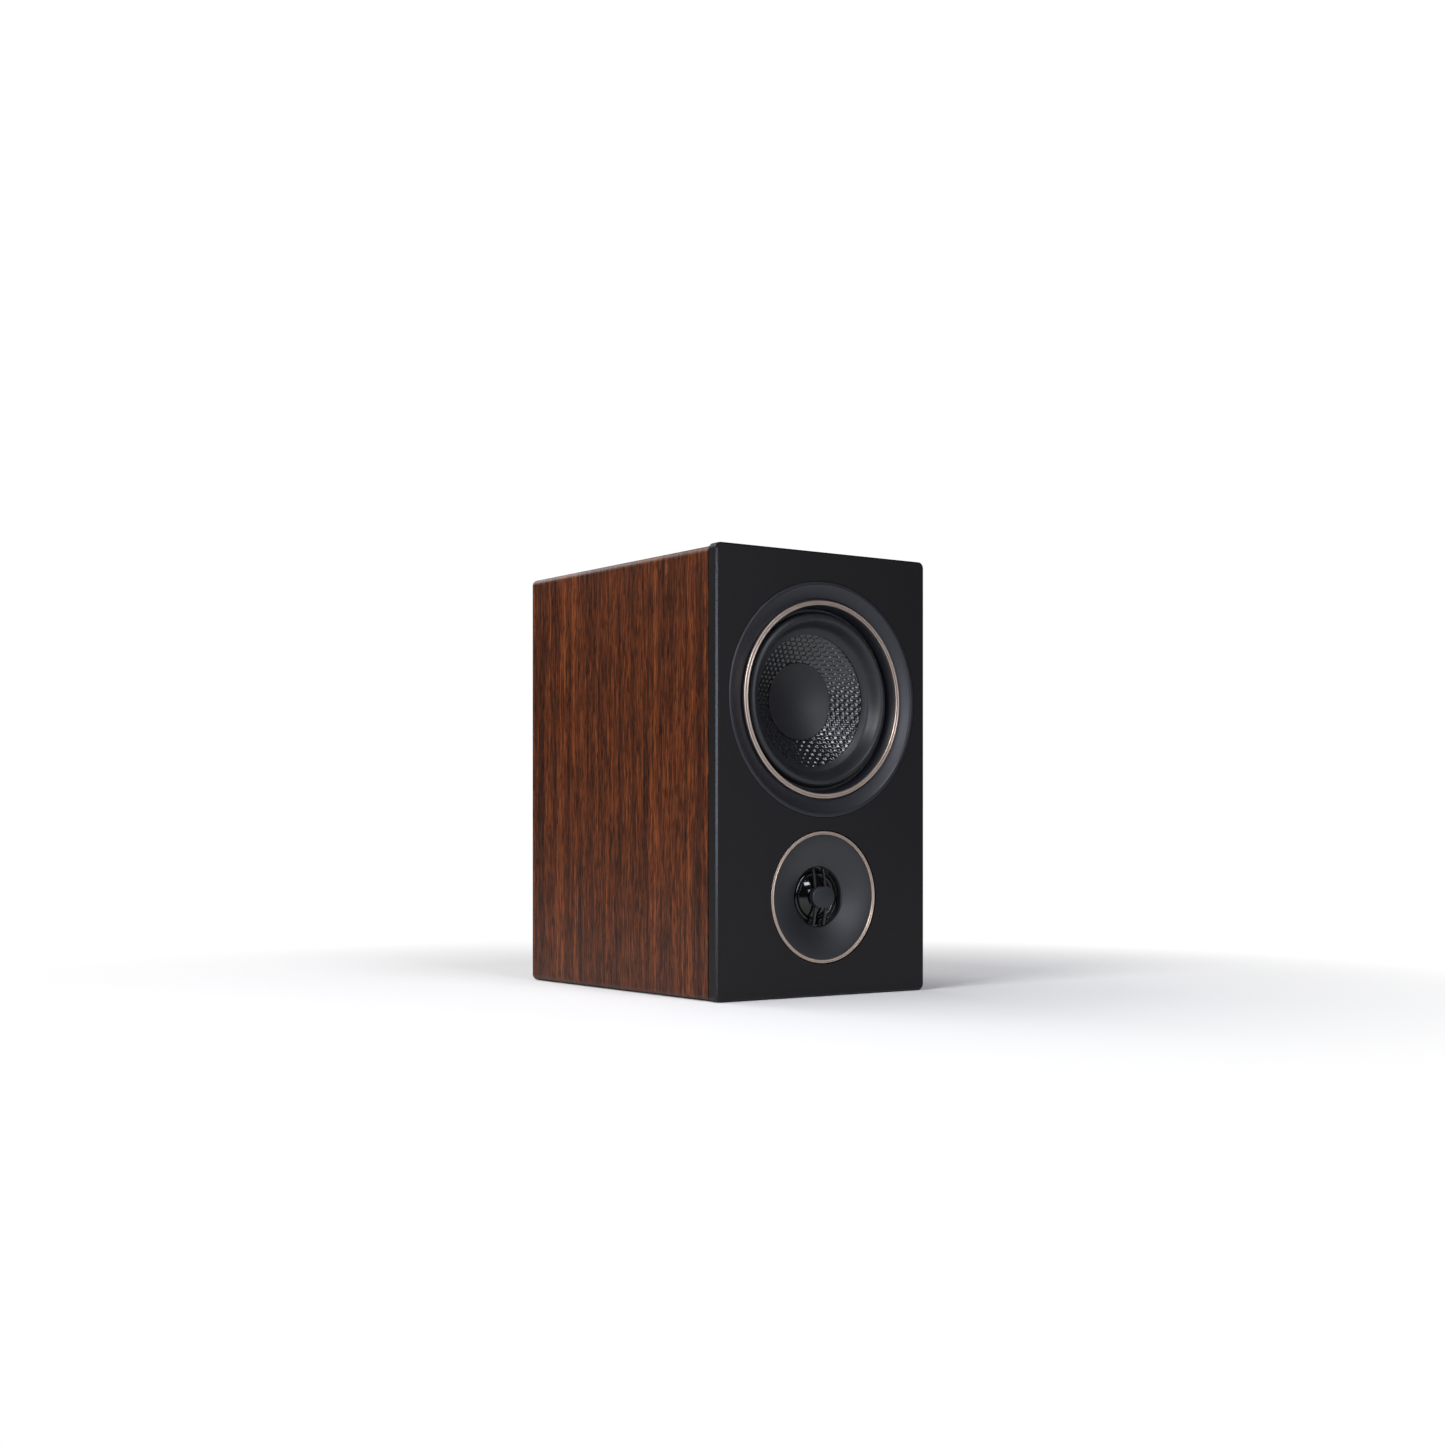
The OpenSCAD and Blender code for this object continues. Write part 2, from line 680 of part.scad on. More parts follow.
// The dish falls slowly from the ring, then faster towards the throat, and turns over a round lip.
dish_front = concat(
    [
        for (i = [0:8]) let (s = i / 8, r0 = tweeter_ring_r - tweeter_ring_w)
            [r0 + (dish_lip_r - r0) * s, dish_edge_d + (dish_lip_d - dish_edge_d) * pow(s, 1.5)]
    ],
    arc(dish_lip_r + 0.14, dish_lip_d + 1.54, 1.54, 252, 180, 6)
);

module tweeter_faceplate() color([0.13, 0.13, 0.14]) on_axis(tweeter_z) difference() {
    union() {
        turned(concat(
            [[tweeter_ring_r, 1.5], [tweeter_ring_r - tweeter_ring_w, 1.5]],
            dish_front,
            [
                [throat_r, faceplate_back_d], [faceplate_boss_r, faceplate_back_d],
                [faceplate_boss_r, faceplate_t], [tweeter_ring_r, faceplate_t]
            ]
        ));
        at_tweeter_screws() translate([0, 0, faceplate_t - 0.6])
            cylinder(r = boss_r, h = boss_end_d - faceplate_t + 0.6);
    }
    at_tweeter_screws() translate([0, 0, faceplate_t + 2]) cylinder(r = 1.4 + hair, h = boss_end_d);
}

module tweeter_accent_ring() color([0.68, 0.6, 0.55]) on_axis(tweeter_z)
    accent_ring(tweeter_ring_r, tweeter_ring_w - hair, 0.15, 1.5, 0.3);

// Two ribs that arch over the dome and carry the badge's hub.
module tweeter_bridge() color([0.1, 0.1, 0.1]) on_axis(tweeter_z) intersection() {
    translate([0, 0, -1]) cylinder(r = throat_r - hair, h = 10);
    union() {
        for (x = [-1, 1]) translate([x * rib_gap / 2 - rib_t / 2, 0, 0])
            rotate([90, 0, 90]) linear_extrude(rib_t) polygon(concat(
                [for (u = [-1:0.25:1]) [u * throat_r, rib_crest_d + rib_fall * pow(abs(u), 1.7)]],
                [for (u = [1:-0.125:-1]) [u * throat_r, rib_back_d + rib_back_fall * pow(abs(u), 1.5)]]
            ));
        translate([0, 0, badge_face_d + badge_t]) linear_extrude(hub_back_d - badge_face_d - badge_t)
            oval(badge_w, badge_h);
    }
}

// The place for a maker's name is a bare oval.
module tweeter_badge() color([0.2, 0.2, 0.22]) on_axis(tweeter_z) translate([0, 0, badge_face_d]) {
    translate([0, 0, 0.3]) linear_extrude(badge_t - 0.3) oval(badge_w, badge_h);
    linear_extrude(0.5) oval(badge_w - 0.6, badge_h - 0.6);
}

module tweeter_dome() color([0.12, 0.12, 0.13]) on_axis(tweeter_z) turned(skin(
    [
        for (i = [0:8]) let (r = dome_r * i / 8)
            [r, dome_base_d - dome_h + dome_sag(dome_r, dome_h, r)]
    ],
    dome_t
));

module tweeter_surround() color([0.1, 0.1, 0.1]) on_axis(tweeter_z) turned(skin(concat(
    [[rim_r[1], faceplate_back_d - rim_t], [rim_r[0], faceplate_back_d - rim_t]],
    arc(
        (rim_r[0] + dome_r + bond) / 2, faceplate_back_d - rim_t - 0.1,
        (rim_r[0] - dome_r - bond) / 2 - 0.05, 0, -180, 8
    )
), rim_t - 0.15));

module tweeter_voice_coil() color([0.72, 0.4, 0.2]) on_axis(tweeter_z) {
    r = dome_r - t_former_t;
    tube(dome_r, r, dome_base_d + dome_t + 0.02, 11);
    mid = faceplate_back_d + 0.2 + pole_plate_t / 2;
    half = pole_plate_t / 2 + dome_travel;
    tube(dome_r + t_coil_t, dome_r, mid - half, mid + half);
}

module tweeter_pole_plate() color("silver") on_axis(tweeter_z)
    translate([0, 0, faceplate_back_d + 0.2]) cylinder(r = dome_r - t_former_t - 0.35, h = pole_plate_t);

module tweeter_magnet() color([0.6, 0.6, 0.62]) on_axis(tweeter_z)
    tube(8.8, 0, faceplate_back_d + 0.2 + pole_plate_t, pot_end_d - pot_floor_t);

module tweeter_cup() color("silver") on_axis(tweeter_z) turned([
    [pot_in_r, faceplate_back_d], [cup_flange_r, faceplate_back_d],
    [cup_flange_r, faceplate_back_d + cup_flange_t], [pot_r, faceplate_back_d + cup_flange_t],
    [pot_r, pot_end_d], [0, pot_end_d], [0, pot_end_d - pot_floor_t], [pot_in_r, pot_end_d - pot_floor_t]
]);

module tweeter_rear_cap() color([0.15, 0.15, 0.15]) on_axis(tweeter_z) turned([
    [rear_cap_r - 1.5, faceplate_back_d + cup_flange_t], [rear_cap_r, faceplate_back_d + cup_flange_t],
    [rear_cap_r, rear_cap_end_d], [0, rear_cap_end_d], [0, rear_cap_end_d - 1.5],
    [rear_cap_r - 1.5, rear_cap_end_d - 1.5]
]);

module tweeter_terminals() color("gold") on_axis(tweeter_z) for (x = [-6, 6])
    translate([x - 1.4, -0.25, rear_cap_end_d]) {
        cube([2.8, 0.5, 7]);
        translate([-0.8, -1.75, 0]) cube([4.4, 4, 0.6]);
    }

module tweeter_screws() color([0.6, 0.6, 0.6]) on_axis(tweeter_z) at_tweeter_screws() {
    translate([0, 0, baffle_back_d]) cylinder(r = 5, h = 0.8);
    translate([0, 0, baffle_back_d + 0.7]) cylinder(r = 2.8, h = 1.9);
    translate([0, 0, faceplate_t + 3]) cylinder(r = 1.4, h = baffle_back_d - faceplate_t - 2.5);
}

// ---------- rear ----------

// The mouth turns outwards on a round flare; the tube's straight bore starts where the flare ends.
module port_tube() color([0.08, 0.08, 0.08]) on_axis(port_z) turned(concat(
    [[port_r, back_face_d - port_l]],
    arc(port_r + flare_r, enclosure_d - flare_r, flare_r, 180, 90, 10),
    [
        [port_flange_r, enclosure_d], [port_flange_r, back_face_d],
        [port_r + port_wall, back_face_d], [port_r + port_wall, back_face_d - port_l]
    ]
));

module terminal_cup() color([0.08, 0.08, 0.08]) difference() {
    union() {
        slab(back_face_d, back_face_d + cup_flange_d) translate([0, cup_z]) rounded_rect(cup_w, cup_h, 5);
        slab(cup_floor_d - cup_floor_t, back_face_d + 0.5) well_outline(well_wall);
    }
    slab(cup_floor_d, back_face_d + cup_flange_d + 1) well_outline(0);
    slab(back_face_d - 1, back_face_d + cup_flange_d + 1) at_cup_screws() circle(rear_screw_r + 0.3);
    slab(cup_floor_d - cup_floor_t - 1, cup_floor_d + 1) for (s = [-1, 1])
        translate([s * post_pitch / 2, cup_z]) circle(shank_r + slip);
}

// A pan-head screw whose head sits at depth d.
module rear_screw(d, l) {
    slab(d, d + 1.8) circle(rear_screw_head_r);
    slab(d - l, d + 0.1) circle(rear_screw_r);
}

module rear_screws() color([0.12, 0.12, 0.12]) {
    at_screws_3d(cup_w / 2 - 4.2, [cup_z - cup_h / 2 + 4.6, cup_z + cup_h / 2 - 4.6])
        rear_screw(back_face_d + cup_flange_d, 9);
    at_screws_3d(keyhole_screw_x, [keyhole_z - keyhole_drop / 2]) rear_screw(back_face_d, 8);
}

module at_screws_3d(x, heights) for (s = [-1, 1], z = heights) translate([s * x, 0, z]) children();

module keyhole_plate() color("silver") slab(back_face_d - keyhole_plate_t, back_face_d) difference() {
    keyhole_plate_outline();
    keyhole_outline();
    at_keyhole_screws() circle(rear_screw_r + 0.3);
}

// Children's +Z points out of the back, from the floor of the cup, on a post's axis.
module on_post(s) translate([s * post_pitch / 2, post_y, cup_z]) rotate([-90, 0, 0]) children();

module post(s) color("gold") on_post(s) difference() {
    union() {
        cylinder(r = collar_r, h = collar_t);
        cylinder(r = stud_r, h = collar_t + stud_l);
        translate([0, 0, shank_end_d - cup_floor_d])
            cylinder(r = shank_r, h = cup_floor_d - shank_end_d + 1);
    }
    translate([0, 0, collar_t + stud_l - socket_l]) cylinder(r = socket_r, h = socket_l + 1);
    translate([0, 0, collar_t + wire_hole_u]) rotate([0, 90, 0])
        cylinder(r = wire_hole_r, h = 2 * stud_r + 2, center = true);
}

// A turned knob with finger flutes, bored for the thread, with a mouth for the plug.
module knob(s) color([0.75, 0.65, 0.35]) on_post(s) translate([0, 0, collar_t + knob_seat]) difference() {
    turned([
        [knob_bore_r, 0], [knob_r - 0.4, 0], [knob_r, 0.4], [knob_r, ring_u],
        [groove_r, ring_u], [groove_r, ring_u + ring_l],
        [knob_r, ring_u + ring_l], [knob_r, knob_l - 1], [knob_r - 1, knob_l],
        [knob_mouth_r + 0.8, knob_l], [knob_mouth_r, knob_l - 0.8], [knob_mouth_r, knob_l - knob_lip_t],
        [knob_bore_r, knob_l - knob_lip_t]
    ]);
    for (a = [0:30:330]) rotate(a) translate([knob_r + 0.35, 0, ring_u + ring_l + 1.5])
        cylinder(r = flute_r, h = knob_l);
}

module colour_ring(s) on_post(s) translate([0, 0, collar_t + knob_seat])
    tube(knob_r + 0.15, groove_r + 0.1, ring_u + 0.1, ring_u + ring_l - 0.1);

module red_post() post(1);
module black_post() post(-1);
module red_knob() knob(1);
module black_knob() knob(-1);
module red_ring() color("red") colour_ring(1);
module black_ring() color([0.1, 0.1, 0.1]) colour_ring(-1);

inside_d = cup_floor_d - cup_floor_t;
tag_front_d = inside_d - washer_t - tag_t;

module post_washers() color("silver") for (s = [-1, 1]) on_post(s)
    tube(collar_r, shank_r + hair, inside_d - washer_t - cup_floor_d, inside_d - cup_floor_d);

// Each tag is an eye under the nut with a tongue hanging down for its lead.
module solder_tags() color("gold") for (s = [-1, 1]) slab(tag_front_d, inside_d - washer_t)
    translate([s * post_pitch / 2, cup_z]) difference() {
        union() {
            circle(tag_eye_r);
            translate([-tag_w / 2, -tag_l]) square([tag_w, tag_l]);
        }
        circle(shank_r + hair);
    }

module post_nuts() color("gold") for (s = [-1, 1]) on_post(s)
    translate([0, 0, tag_front_d - nut_t - cup_floor_d]) difference() {
        cylinder(r = nut_r, h = nut_t, $fn = 6);
        translate([0, 0, -1]) cylinder(r = shank_r + hair, h = nut_t + 2);
    }

// ---------- inside ----------

module at_board_corners() for (x = [-1, 1], y = [4, board_l - 4])
    translate([x * (board_w / 2 - 4), front_y + board_d + y, 0]) children();

module crossover_board() color([0.1, 0.3, 0.15]) difference() {
    translate([-board_w / 2, front_y + board_d, board_z]) cube([board_w, board_l, board_t]);
    at_board_corners() translate([0, 0, board_z - 1]) cylinder(r = 1.7, h = board_t + 2);
}

module crossover_standoffs() color("white") at_board_corners() {
    translate([0, 0, wall_t]) cylinder(r = 3, h = standoff_h);
    translate([0, 0, wall_t + standoff_h - 0.1]) cylinder(r = 1.6, h = board_t + 0.2);
    translate([0, 0, board_top + hair]) cylinder(r1 = 2.3, r2 = 1.3, h = 1.8);
}

// A bobbin with its winding, standing on the board.
module choke(at, r, h, core) translate([at[0], front_y + board_d + at[1], board_top]) {
    color([0.2, 0.2, 0.2]) turned([
        [core, 0], [r, 0], [r, cheek_t], [core + hub_t, cheek_t],
        [core + hub_t, h - cheek_t], [r, h - cheek_t], [r, h], [core, h]
    ]);
    color([0.72, 0.4, 0.2]) tube(r - cheek_t, core + hub_t + hair, cheek_t + hair, h - cheek_t - hair);
}

module woofer_choke() {
    choke(big_choke, 17, 20, 6);
    color([0.25, 0.25, 0.25]) translate([big_choke[0], front_y + board_d + big_choke[1], board_top])
        cylinder(r = 6 - hair, h = 22);
}

module tweeter_choke() choke([21, 17], 12, 12, 4);

module crossover_capacitors() {
    color([0.7, 0.15, 0.1]) translate([6, front_y + board_d + 49, board_top + 8]) rotate([0, 90, 0])
        cylinder(r = 8, h = 26);
    color([0.1, 0.2, 0.5]) translate([24, front_y + board_d + 34.5, board_top + 5.5]) rotate([0, 90, 0])
        cylinder(r = 5.5, h = 12);
}

module crossover_resistors() color([0.9, 0.9, 0.85]) for (x = [-34, -17])
    translate([x, front_y + board_d + 40, board_top]) cube([14, 10, 9]);

lead_r = 0.9;

module woofer_leads() for (s = [-1, 1]) color(s > 0 ? "red" : "black") lead([
    [s * tag_x, front_y + strip_d[0] + 5, woofer_z - tag_y],
    [s * tag_x, front_y + strip_d[0] + 8, woofer_z - tag_y - 7],
    [s * 7, front_y + 52, 74],
    [s * 7, front_y + 66, 46],
    [s * 6, front_y + board_d - 2, 27],
    [s * 5, front_y + board_d + 4, board_top + lead_r + 0.4]
], lead_r);

module tweeter_leads() for (s = [-1, 1]) color(s > 0 ? "red" : "black") lead([
    [s * 6, front_y + rear_cap_end_d + 6, tweeter_z - 1.6],
    [s * 6.5, front_y + rear_cap_end_d + 15, tweeter_z - 4],
    [s * 9, front_y + 52, 36],
    [s * 14, front_y + 70, 27],
    [s * 15.5, front_y + board_d - 1, 23],
    [s * 15.5, front_y + board_d + 2.5, board_top + lead_r + 0.4]
], lead_r);

module input_leads() for (s = [-1, 1]) color(s > 0 ? "red" : "black") lead([
    [s * post_pitch / 2, front_y + tag_front_d - lead_r - 0.2, cup_z - tag_l + 2],
    [s * post_pitch / 2, front_y + tag_front_d - lead_r - 0.9, cup_z - tag_l - 7],
    [s * 8, front_y + board_d + board_l + 9, 28],
    [s * 4, front_y + board_d + board_l + 4.5, 23],
    [s * 3, front_y + board_d + board_l - 1.5, board_top + lead_r + 0.4]
], lead_r);

pad_t = 10;
pad_d = [68, 148];

// Wadding glued inside the two sides and the top.
module damping_pads() color([0.85, 0.85, 0.82]) {
    for (s = [0, 1]) mirror([s, 0, 0])
        translate([inner_w / 2 - pad_t, front_y + pad_d[0], wall_t + 20])
            cube([pad_t, pad_d[1] - pad_d[0], inner_h - 32]);
    translate([-inner_w / 2 + pad_t + 3, front_y + pad_d[0], cabinet_h - wall_t - pad_t])
        cube([inner_w - 2 * pad_t - 6, pad_d[1] - pad_d[0], pad_t]);
}

// ---------- parts ----------

front_baffle();
baffle_gasket();
walnut_wrap();
left_panel();
right_panel();
top_panel();
bottom_panel();
back_panel();
woofer_bezel();
woofer_accent_ring();
woofer_basket();
woofer_gasket();
woofer_screws();
woofer_surround();
woofer_cone();
woofer_dust_cap();
woofer_coil_former();
woofer_voice_coil();
woofer_spider();
woofer_top_plate();
woofer_magnet();
woofer_yoke();
woofer_terminals();
woofer_tinsel_leads();
tweeter_faceplate();
tweeter_accent_ring();
tweeter_bridge();
tweeter_badge();
tweeter_dome();
tweeter_surround();
tweeter_voice_coil();
tweeter_pole_plate();
tweeter_magnet();
tweeter_cup();
tweeter_rear_cap();
tweeter_terminals();
tweeter_screws();
port_tube();
terminal_cup();
rear_screws();
red_post();
black_post();
red_knob();
black_knob();
red_ring();
black_ring();
post_washers();
solder_tags();
post_nuts();
keyhole_plate();
crossover_board();
crossover_standoffs();
woofer_choke();
tweeter_choke();
crossover_capacitors();
crossover_resistors();
woofer_leads();
tweeter_leads();
input_leads();
damping_pads();
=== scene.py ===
# %% [markdown]
# # A compact two-way loudspeaker
#
# The object is a small bookshelf loudspeaker: a walnut-look box with a thick black baffle, a woven-cone
# woofer in a dished bezel, and a small dome tweeter in a shallow dish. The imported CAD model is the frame:
# it says where each part is and how it moves. This script gives every surface its finish, and models again
# the parts whose surfaces are turned, pressed or woven, because those need smooth curves and fine detail.

# %% Load the frame
import math
from types import SimpleNamespace

import bmesh
import bpy
from mathutils import Matrix, Vector, noise


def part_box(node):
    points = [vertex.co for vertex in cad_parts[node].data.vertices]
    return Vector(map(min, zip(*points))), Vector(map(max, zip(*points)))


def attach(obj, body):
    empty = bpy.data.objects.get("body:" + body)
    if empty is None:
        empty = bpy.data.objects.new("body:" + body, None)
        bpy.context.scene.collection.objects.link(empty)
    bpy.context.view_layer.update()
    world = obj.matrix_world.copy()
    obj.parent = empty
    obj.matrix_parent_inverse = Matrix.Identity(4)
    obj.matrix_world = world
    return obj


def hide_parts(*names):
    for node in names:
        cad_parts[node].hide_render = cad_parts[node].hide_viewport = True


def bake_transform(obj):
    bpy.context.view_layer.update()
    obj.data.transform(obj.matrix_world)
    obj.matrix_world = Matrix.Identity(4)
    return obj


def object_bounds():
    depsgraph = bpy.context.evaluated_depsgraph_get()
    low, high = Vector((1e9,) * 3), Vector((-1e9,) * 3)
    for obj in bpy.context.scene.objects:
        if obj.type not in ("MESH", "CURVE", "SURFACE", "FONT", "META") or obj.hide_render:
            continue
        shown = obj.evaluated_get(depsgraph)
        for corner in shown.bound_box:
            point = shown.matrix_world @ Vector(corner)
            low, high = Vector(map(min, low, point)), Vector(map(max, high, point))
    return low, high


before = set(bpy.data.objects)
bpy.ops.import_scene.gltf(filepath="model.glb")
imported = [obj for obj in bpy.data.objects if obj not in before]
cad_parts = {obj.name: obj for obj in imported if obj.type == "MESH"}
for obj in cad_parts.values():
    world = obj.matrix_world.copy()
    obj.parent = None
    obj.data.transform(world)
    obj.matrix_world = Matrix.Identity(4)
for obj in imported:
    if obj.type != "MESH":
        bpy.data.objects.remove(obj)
cad_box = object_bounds()
MM = 0.001
WELD = 0.002 * MM  # points nearer than this are one point

# %% [markdown]
# ## Measuring the frame
#
# Almost every part of a driver is turned round the driver's axis. So one helper measures a CAD node as a
# turned part: its outer and inner radius, its axis height, and the depth of its front and back behind the
# baffle's face. All the new pieces take their sizes from these numbers, in millimetres.

# %% Measure a turned node
face_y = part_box("front_baffle")[0].y


def turned_size(node):
    low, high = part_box(node)
    height = (low.z + high.z) / 2
    middle = (low.x + high.x) / 2
    radii = [math.hypot(v.co.x - middle, v.co.z - height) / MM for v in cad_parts[node].data.vertices]
    return SimpleNamespace(
        out=max(radii), hole=min(radii), z=height,
        front=(low.y - face_y) / MM, back=(high.y - face_y) / MM,
    )


bezel = turned_size("woofer_bezel")
woofer_ring = turned_size("woofer_accent_ring")
surround = turned_size("woofer_surround")
cone = turned_size("woofer_cone")
cap = turned_size("woofer_dust_cap")
dish = turned_size("tweeter_faceplate")
tweeter_ring = turned_size("tweeter_accent_ring")
dome = turned_size("tweeter_dome")
dome_roll = turned_size("tweeter_surround")
port = turned_size("port_tube")
print("woofer axis at", round(bezel.z / MM, 1), "mm; tweeter axis at", round(dish.z / MM, 1), "mm")

# %% [markdown]
# ## Nodes for materials
#
# A material is a small graph. One helper adds a node, sets its options and sockets, and links it. Colours
# are written as the hex values that a designer reads off a screen, and one function turns them into the
# linear values that the renderer works in.

# %% Colour and node helpers


def linear(code):
    """An sRGB hex colour as linear RGBA."""
    parts = [int(code[i:i + 2], 16) / 255 for i in (1, 3, 5)]
    return [c / 12.92 if c <= 0.04045 else ((c + 0.055) / 1.055) ** 2.4 for c in parts] + [1.0]


def add(tree, kind, inputs=None, feeds=(), stops=None, **settings):
    """Adds a node. An input is a value or another node's output; feeds are (output, node, input)."""
    made = tree.nodes.new(kind)
    for name, value in settings.items():
        setattr(made, name, value)
    for key, value in (inputs or {}).items():
        if isinstance(value, bpy.types.NodeSocket):
            tree.links.new(value, made.inputs[key])
        else:
            made.inputs[key].default_value = value
    for place, colour in stops or ():
        stop = made.color_ramp.elements.new(place)
        stop.color = linear(colour)
    if stops:
        made.color_ramp.elements.remove(made.color_ramp.elements[0])
        made.color_ramp.elements.remove(made.color_ramp.elements[-1])
    for output, target, key in feeds:
        tree.links.new(made.outputs[output], target.inputs[key])
    return made


def material(name, colour, roughness, **sockets):
    """A material with one principled shader. Returns it with its tree, shader and object coordinates."""
    made = bpy.data.materials.new(name)
    made.use_nodes = True
    tree = made.node_tree
    shader = tree.nodes["Principled BSDF"]
    shader.inputs["Base Color"].default_value = linear(colour)
    shader.inputs["Roughness"].default_value = roughness
    for key, value in sockets.items():
        shader.inputs[key.replace("_", " ")].default_value = value
    place = add(tree, "ShaderNodeTexCoord").outputs["Object"]
    return made, tree, shader, place


print("the black film is about", [round(c, 4) for c in linear("#110f10")])

# %% [markdown]
# ### Satin black film
#
# The baffle is fibreboard wrapped in a black vinyl film. The film is printed with a fine leathery grain
# about a third of a millimetre across. It is too small to see as a pattern, but it breaks up every
# reflection, so the face looks soft and a little mottled. A fine noise lifts the surface by a few
# hundredths of a millimetre, and the same noise shifts the colour slightly. Where the film is pulled over
# the chamfered edge its grain is flattened, and that edge catches a thin bright line.

# %% Black film


def black_film():
    grain_size, grain_lift = 0.35 * MM, 0.04 * MM
    dull, shiny = 0.5, 0.22
    made, tree, shader, place = material("black_vinyl_film", "#110f10", dull, Specular_IOR_Level=0.24)
    grain = add(tree, "ShaderNodeTexNoise", {"Vector": place, "Scale": 1 / grain_size, "Detail": 3.0})
    add(tree, "ShaderNodeValToRGB", {"Fac": grain.outputs["Fac"]}, [("Color", shader, "Base Color")],
        stops=[(0.35, "#0c0a0b"), (0.65, "#171415")])
    add(tree, "ShaderNodeBump", {"Height": grain.outputs["Fac"], "Strength": 0.35, "Distance": grain_lift},
        [("Normal", shader, "Normal")])
    # A face at 45 degrees to the front is a chamfer: there the grain is flat, so it shines.
    normal = add(tree, "ShaderNodeTexCoord").outputs["Normal"]
    facing = add(tree, "ShaderNodeSeparateXYZ", {0: normal}).outputs["Y"]
    front = add(tree, "ShaderNodeMath", {0: facing}, operation="ABSOLUTE").outputs[0]
    off = add(tree, "ShaderNodeMath", {0: front, 1: math.sqrt(0.5)}, operation="SUBTRACT").outputs[0]
    off = add(tree, "ShaderNodeMath", {0: off}, operation="ABSOLUTE").outputs[0]
    add(tree, "ShaderNodeMapRange",
        {"Value": off, "From Min": 0.1, "From Max": 0.25, "To Min": shiny, "To Max": dull},
        [(0, shader, "Roughness")])
    return made


baffle_film = black_film()
print("made", baffle_film.name)

# %% [markdown]
# ### Walnut film
#
# The box wears a printed walnut film whose grain runs up the sides and across the top. Walnut shows three
# scales at once: broad bands where the board was cut, streaks a millimetre or two wide, and short dark
# pores. All three are the same noise, squeezed along the grain. Only the depth coordinate changes fast, so
# the streaks run up the side, turn the rounded edge and cross the top without a seam.

# %% Walnut


def walnut_film():
    made, tree, shader, place = material("walnut_vinyl_film", "#602e14", 0.42, Specular_IOR_Level=0.2)
    for size_mm, amount_mm in ((90, 3.0), (9, 0.25)):
        cloud = add(tree, "ShaderNodeTexNoise", {"Vector": place, "Scale": 1 / (size_mm * MM)})
        push = add(tree, "ShaderNodeVectorMath",
                   {0: cloud.outputs["Color"], 1: (0.0, amount_mm * MM, 0.0)}, operation="MULTIPLY")
        place = add(tree, "ShaderNodeVectorMath", {0: place, 1: push.outputs[0]}, operation="ADD").outputs[0]

    def grain(width_mm, stretch, detail):
        """Noise of that width across the grain, drawn out along it."""
        long = add(tree, "ShaderNodeMapping", {"Vector": place, "Scale": (1 / stretch, 1.0, 1 / stretch)})
        return add(tree, "ShaderNodeTexNoise", {
            "Vector": long.outputs[0], "Scale": 1 / (width_mm * MM), "Detail": detail}).outputs["Fac"]

    bands, streaks, fibres, pores = grain(9, 80, 2), grain(1.9, 60, 3), grain(0.55, 30, 3), grain(0.4, 16, 2)
    tone = add(tree, "ShaderNodeMix", {0: 0.48, 2: bands, 3: streaks}).outputs[0]
    tone = add(tree, "ShaderNodeMix", {0: 0.45, 2: tone, 3: fibres}).outputs[0]
    wood = add(tree, "ShaderNodeValToRGB", {"Fac": tone}, stops=[
        (0.39, "#2a1209"), (0.46, "#44200d"), (0.53, "#602e14"), (0.61, "#834620")]).outputs["Color"]
    dark = add(tree, "ShaderNodeValToRGB", {"Fac": pores}, stops=[(0.4, "#7d6b60"), (0.5, "#ffffff")])
    add(tree, "ShaderNodeMix", {0: 1.0, 6: wood, 7: dark.outputs["Color"]}, [(2, shader, "Base Color")],
        data_type="RGBA", blend_type="MULTIPLY")
    add(tree, "ShaderNodeBump", {"Height": fibres, "Strength": 0.3, "Distance": 0.06 * MM},
        [("Normal", shader, "Normal")])
    return made


walnut = walnut_film()
print("made", walnut.name)

# %% [markdown]
# ### Moulded plastics
#
# The bezel, dish, port and terminal cup are injection-moulded ABS. The mould is spark eroded, which leaves
# a fine even texture: at a tenth to a fifth of a millimetre it shows only as a soft sheen that widens each
# highlight. The parts differ in colour and gloss, so one function makes them all from those two values.

# %% Moulded plastic


def moulded(name, colour, roughness, grit_mm=0.18, lift_mm=0.02):
    made, tree, shader, place = material(name, colour, roughness, IOR=1.53)
    grit = add(tree, "ShaderNodeTexNoise", {"Vector": place, "Scale": 1 / (grit_mm * MM), "Detail": 2.0})
    add(tree, "ShaderNodeBump",
        {"Height": grit.outputs["Fac"], "Strength": 0.4, "Distance": lift_mm * MM},
        [("Normal", shader, "Normal")])
    cloud = add(tree, "ShaderNodeTexNoise", {"Vector": place, "Scale": 1 / (30 * MM), "Detail": 3.0})
    add(tree, "ShaderNodeMapRange",
        {"Value": cloud.outputs["Fac"], "To Min": roughness - 0.04, "To Max": roughness + 0.04},
        [(0, shader, "Roughness")])
    return made


slate_abs = moulded("slate_moulded_abs", "#191a20", 0.4)
dish_abs = moulded("charcoal_moulded_abs", "#1b1c1f", 0.44)
rear_abs = moulded("black_moulded_abs", "#141415", 0.45, grit_mm=0.4, lift_mm=0.05)
guard_abs = moulded("satin_black_abs", "#101113", 0.36)
red_abs = moulded("red_moulded_abs", "#9c1511", 0.35)
badge_abs = moulded("slate_painted_abs", "#151920", 0.42)
print("made", len(bpy.data.materials), "materials so far")

# %% [markdown]
# ### Turned and plated metals
#
# The accent rings are aluminium turned on a lathe and anodised a pale champagne. The tool leaves fine
# grooves round the ring, which stretch each highlight across the ring's width. Here the grooves are rings
# of bump spaced by the distance from the driver's axis. Plated parts have no such lines, only a slightly
# uneven gloss.

# %% Metals


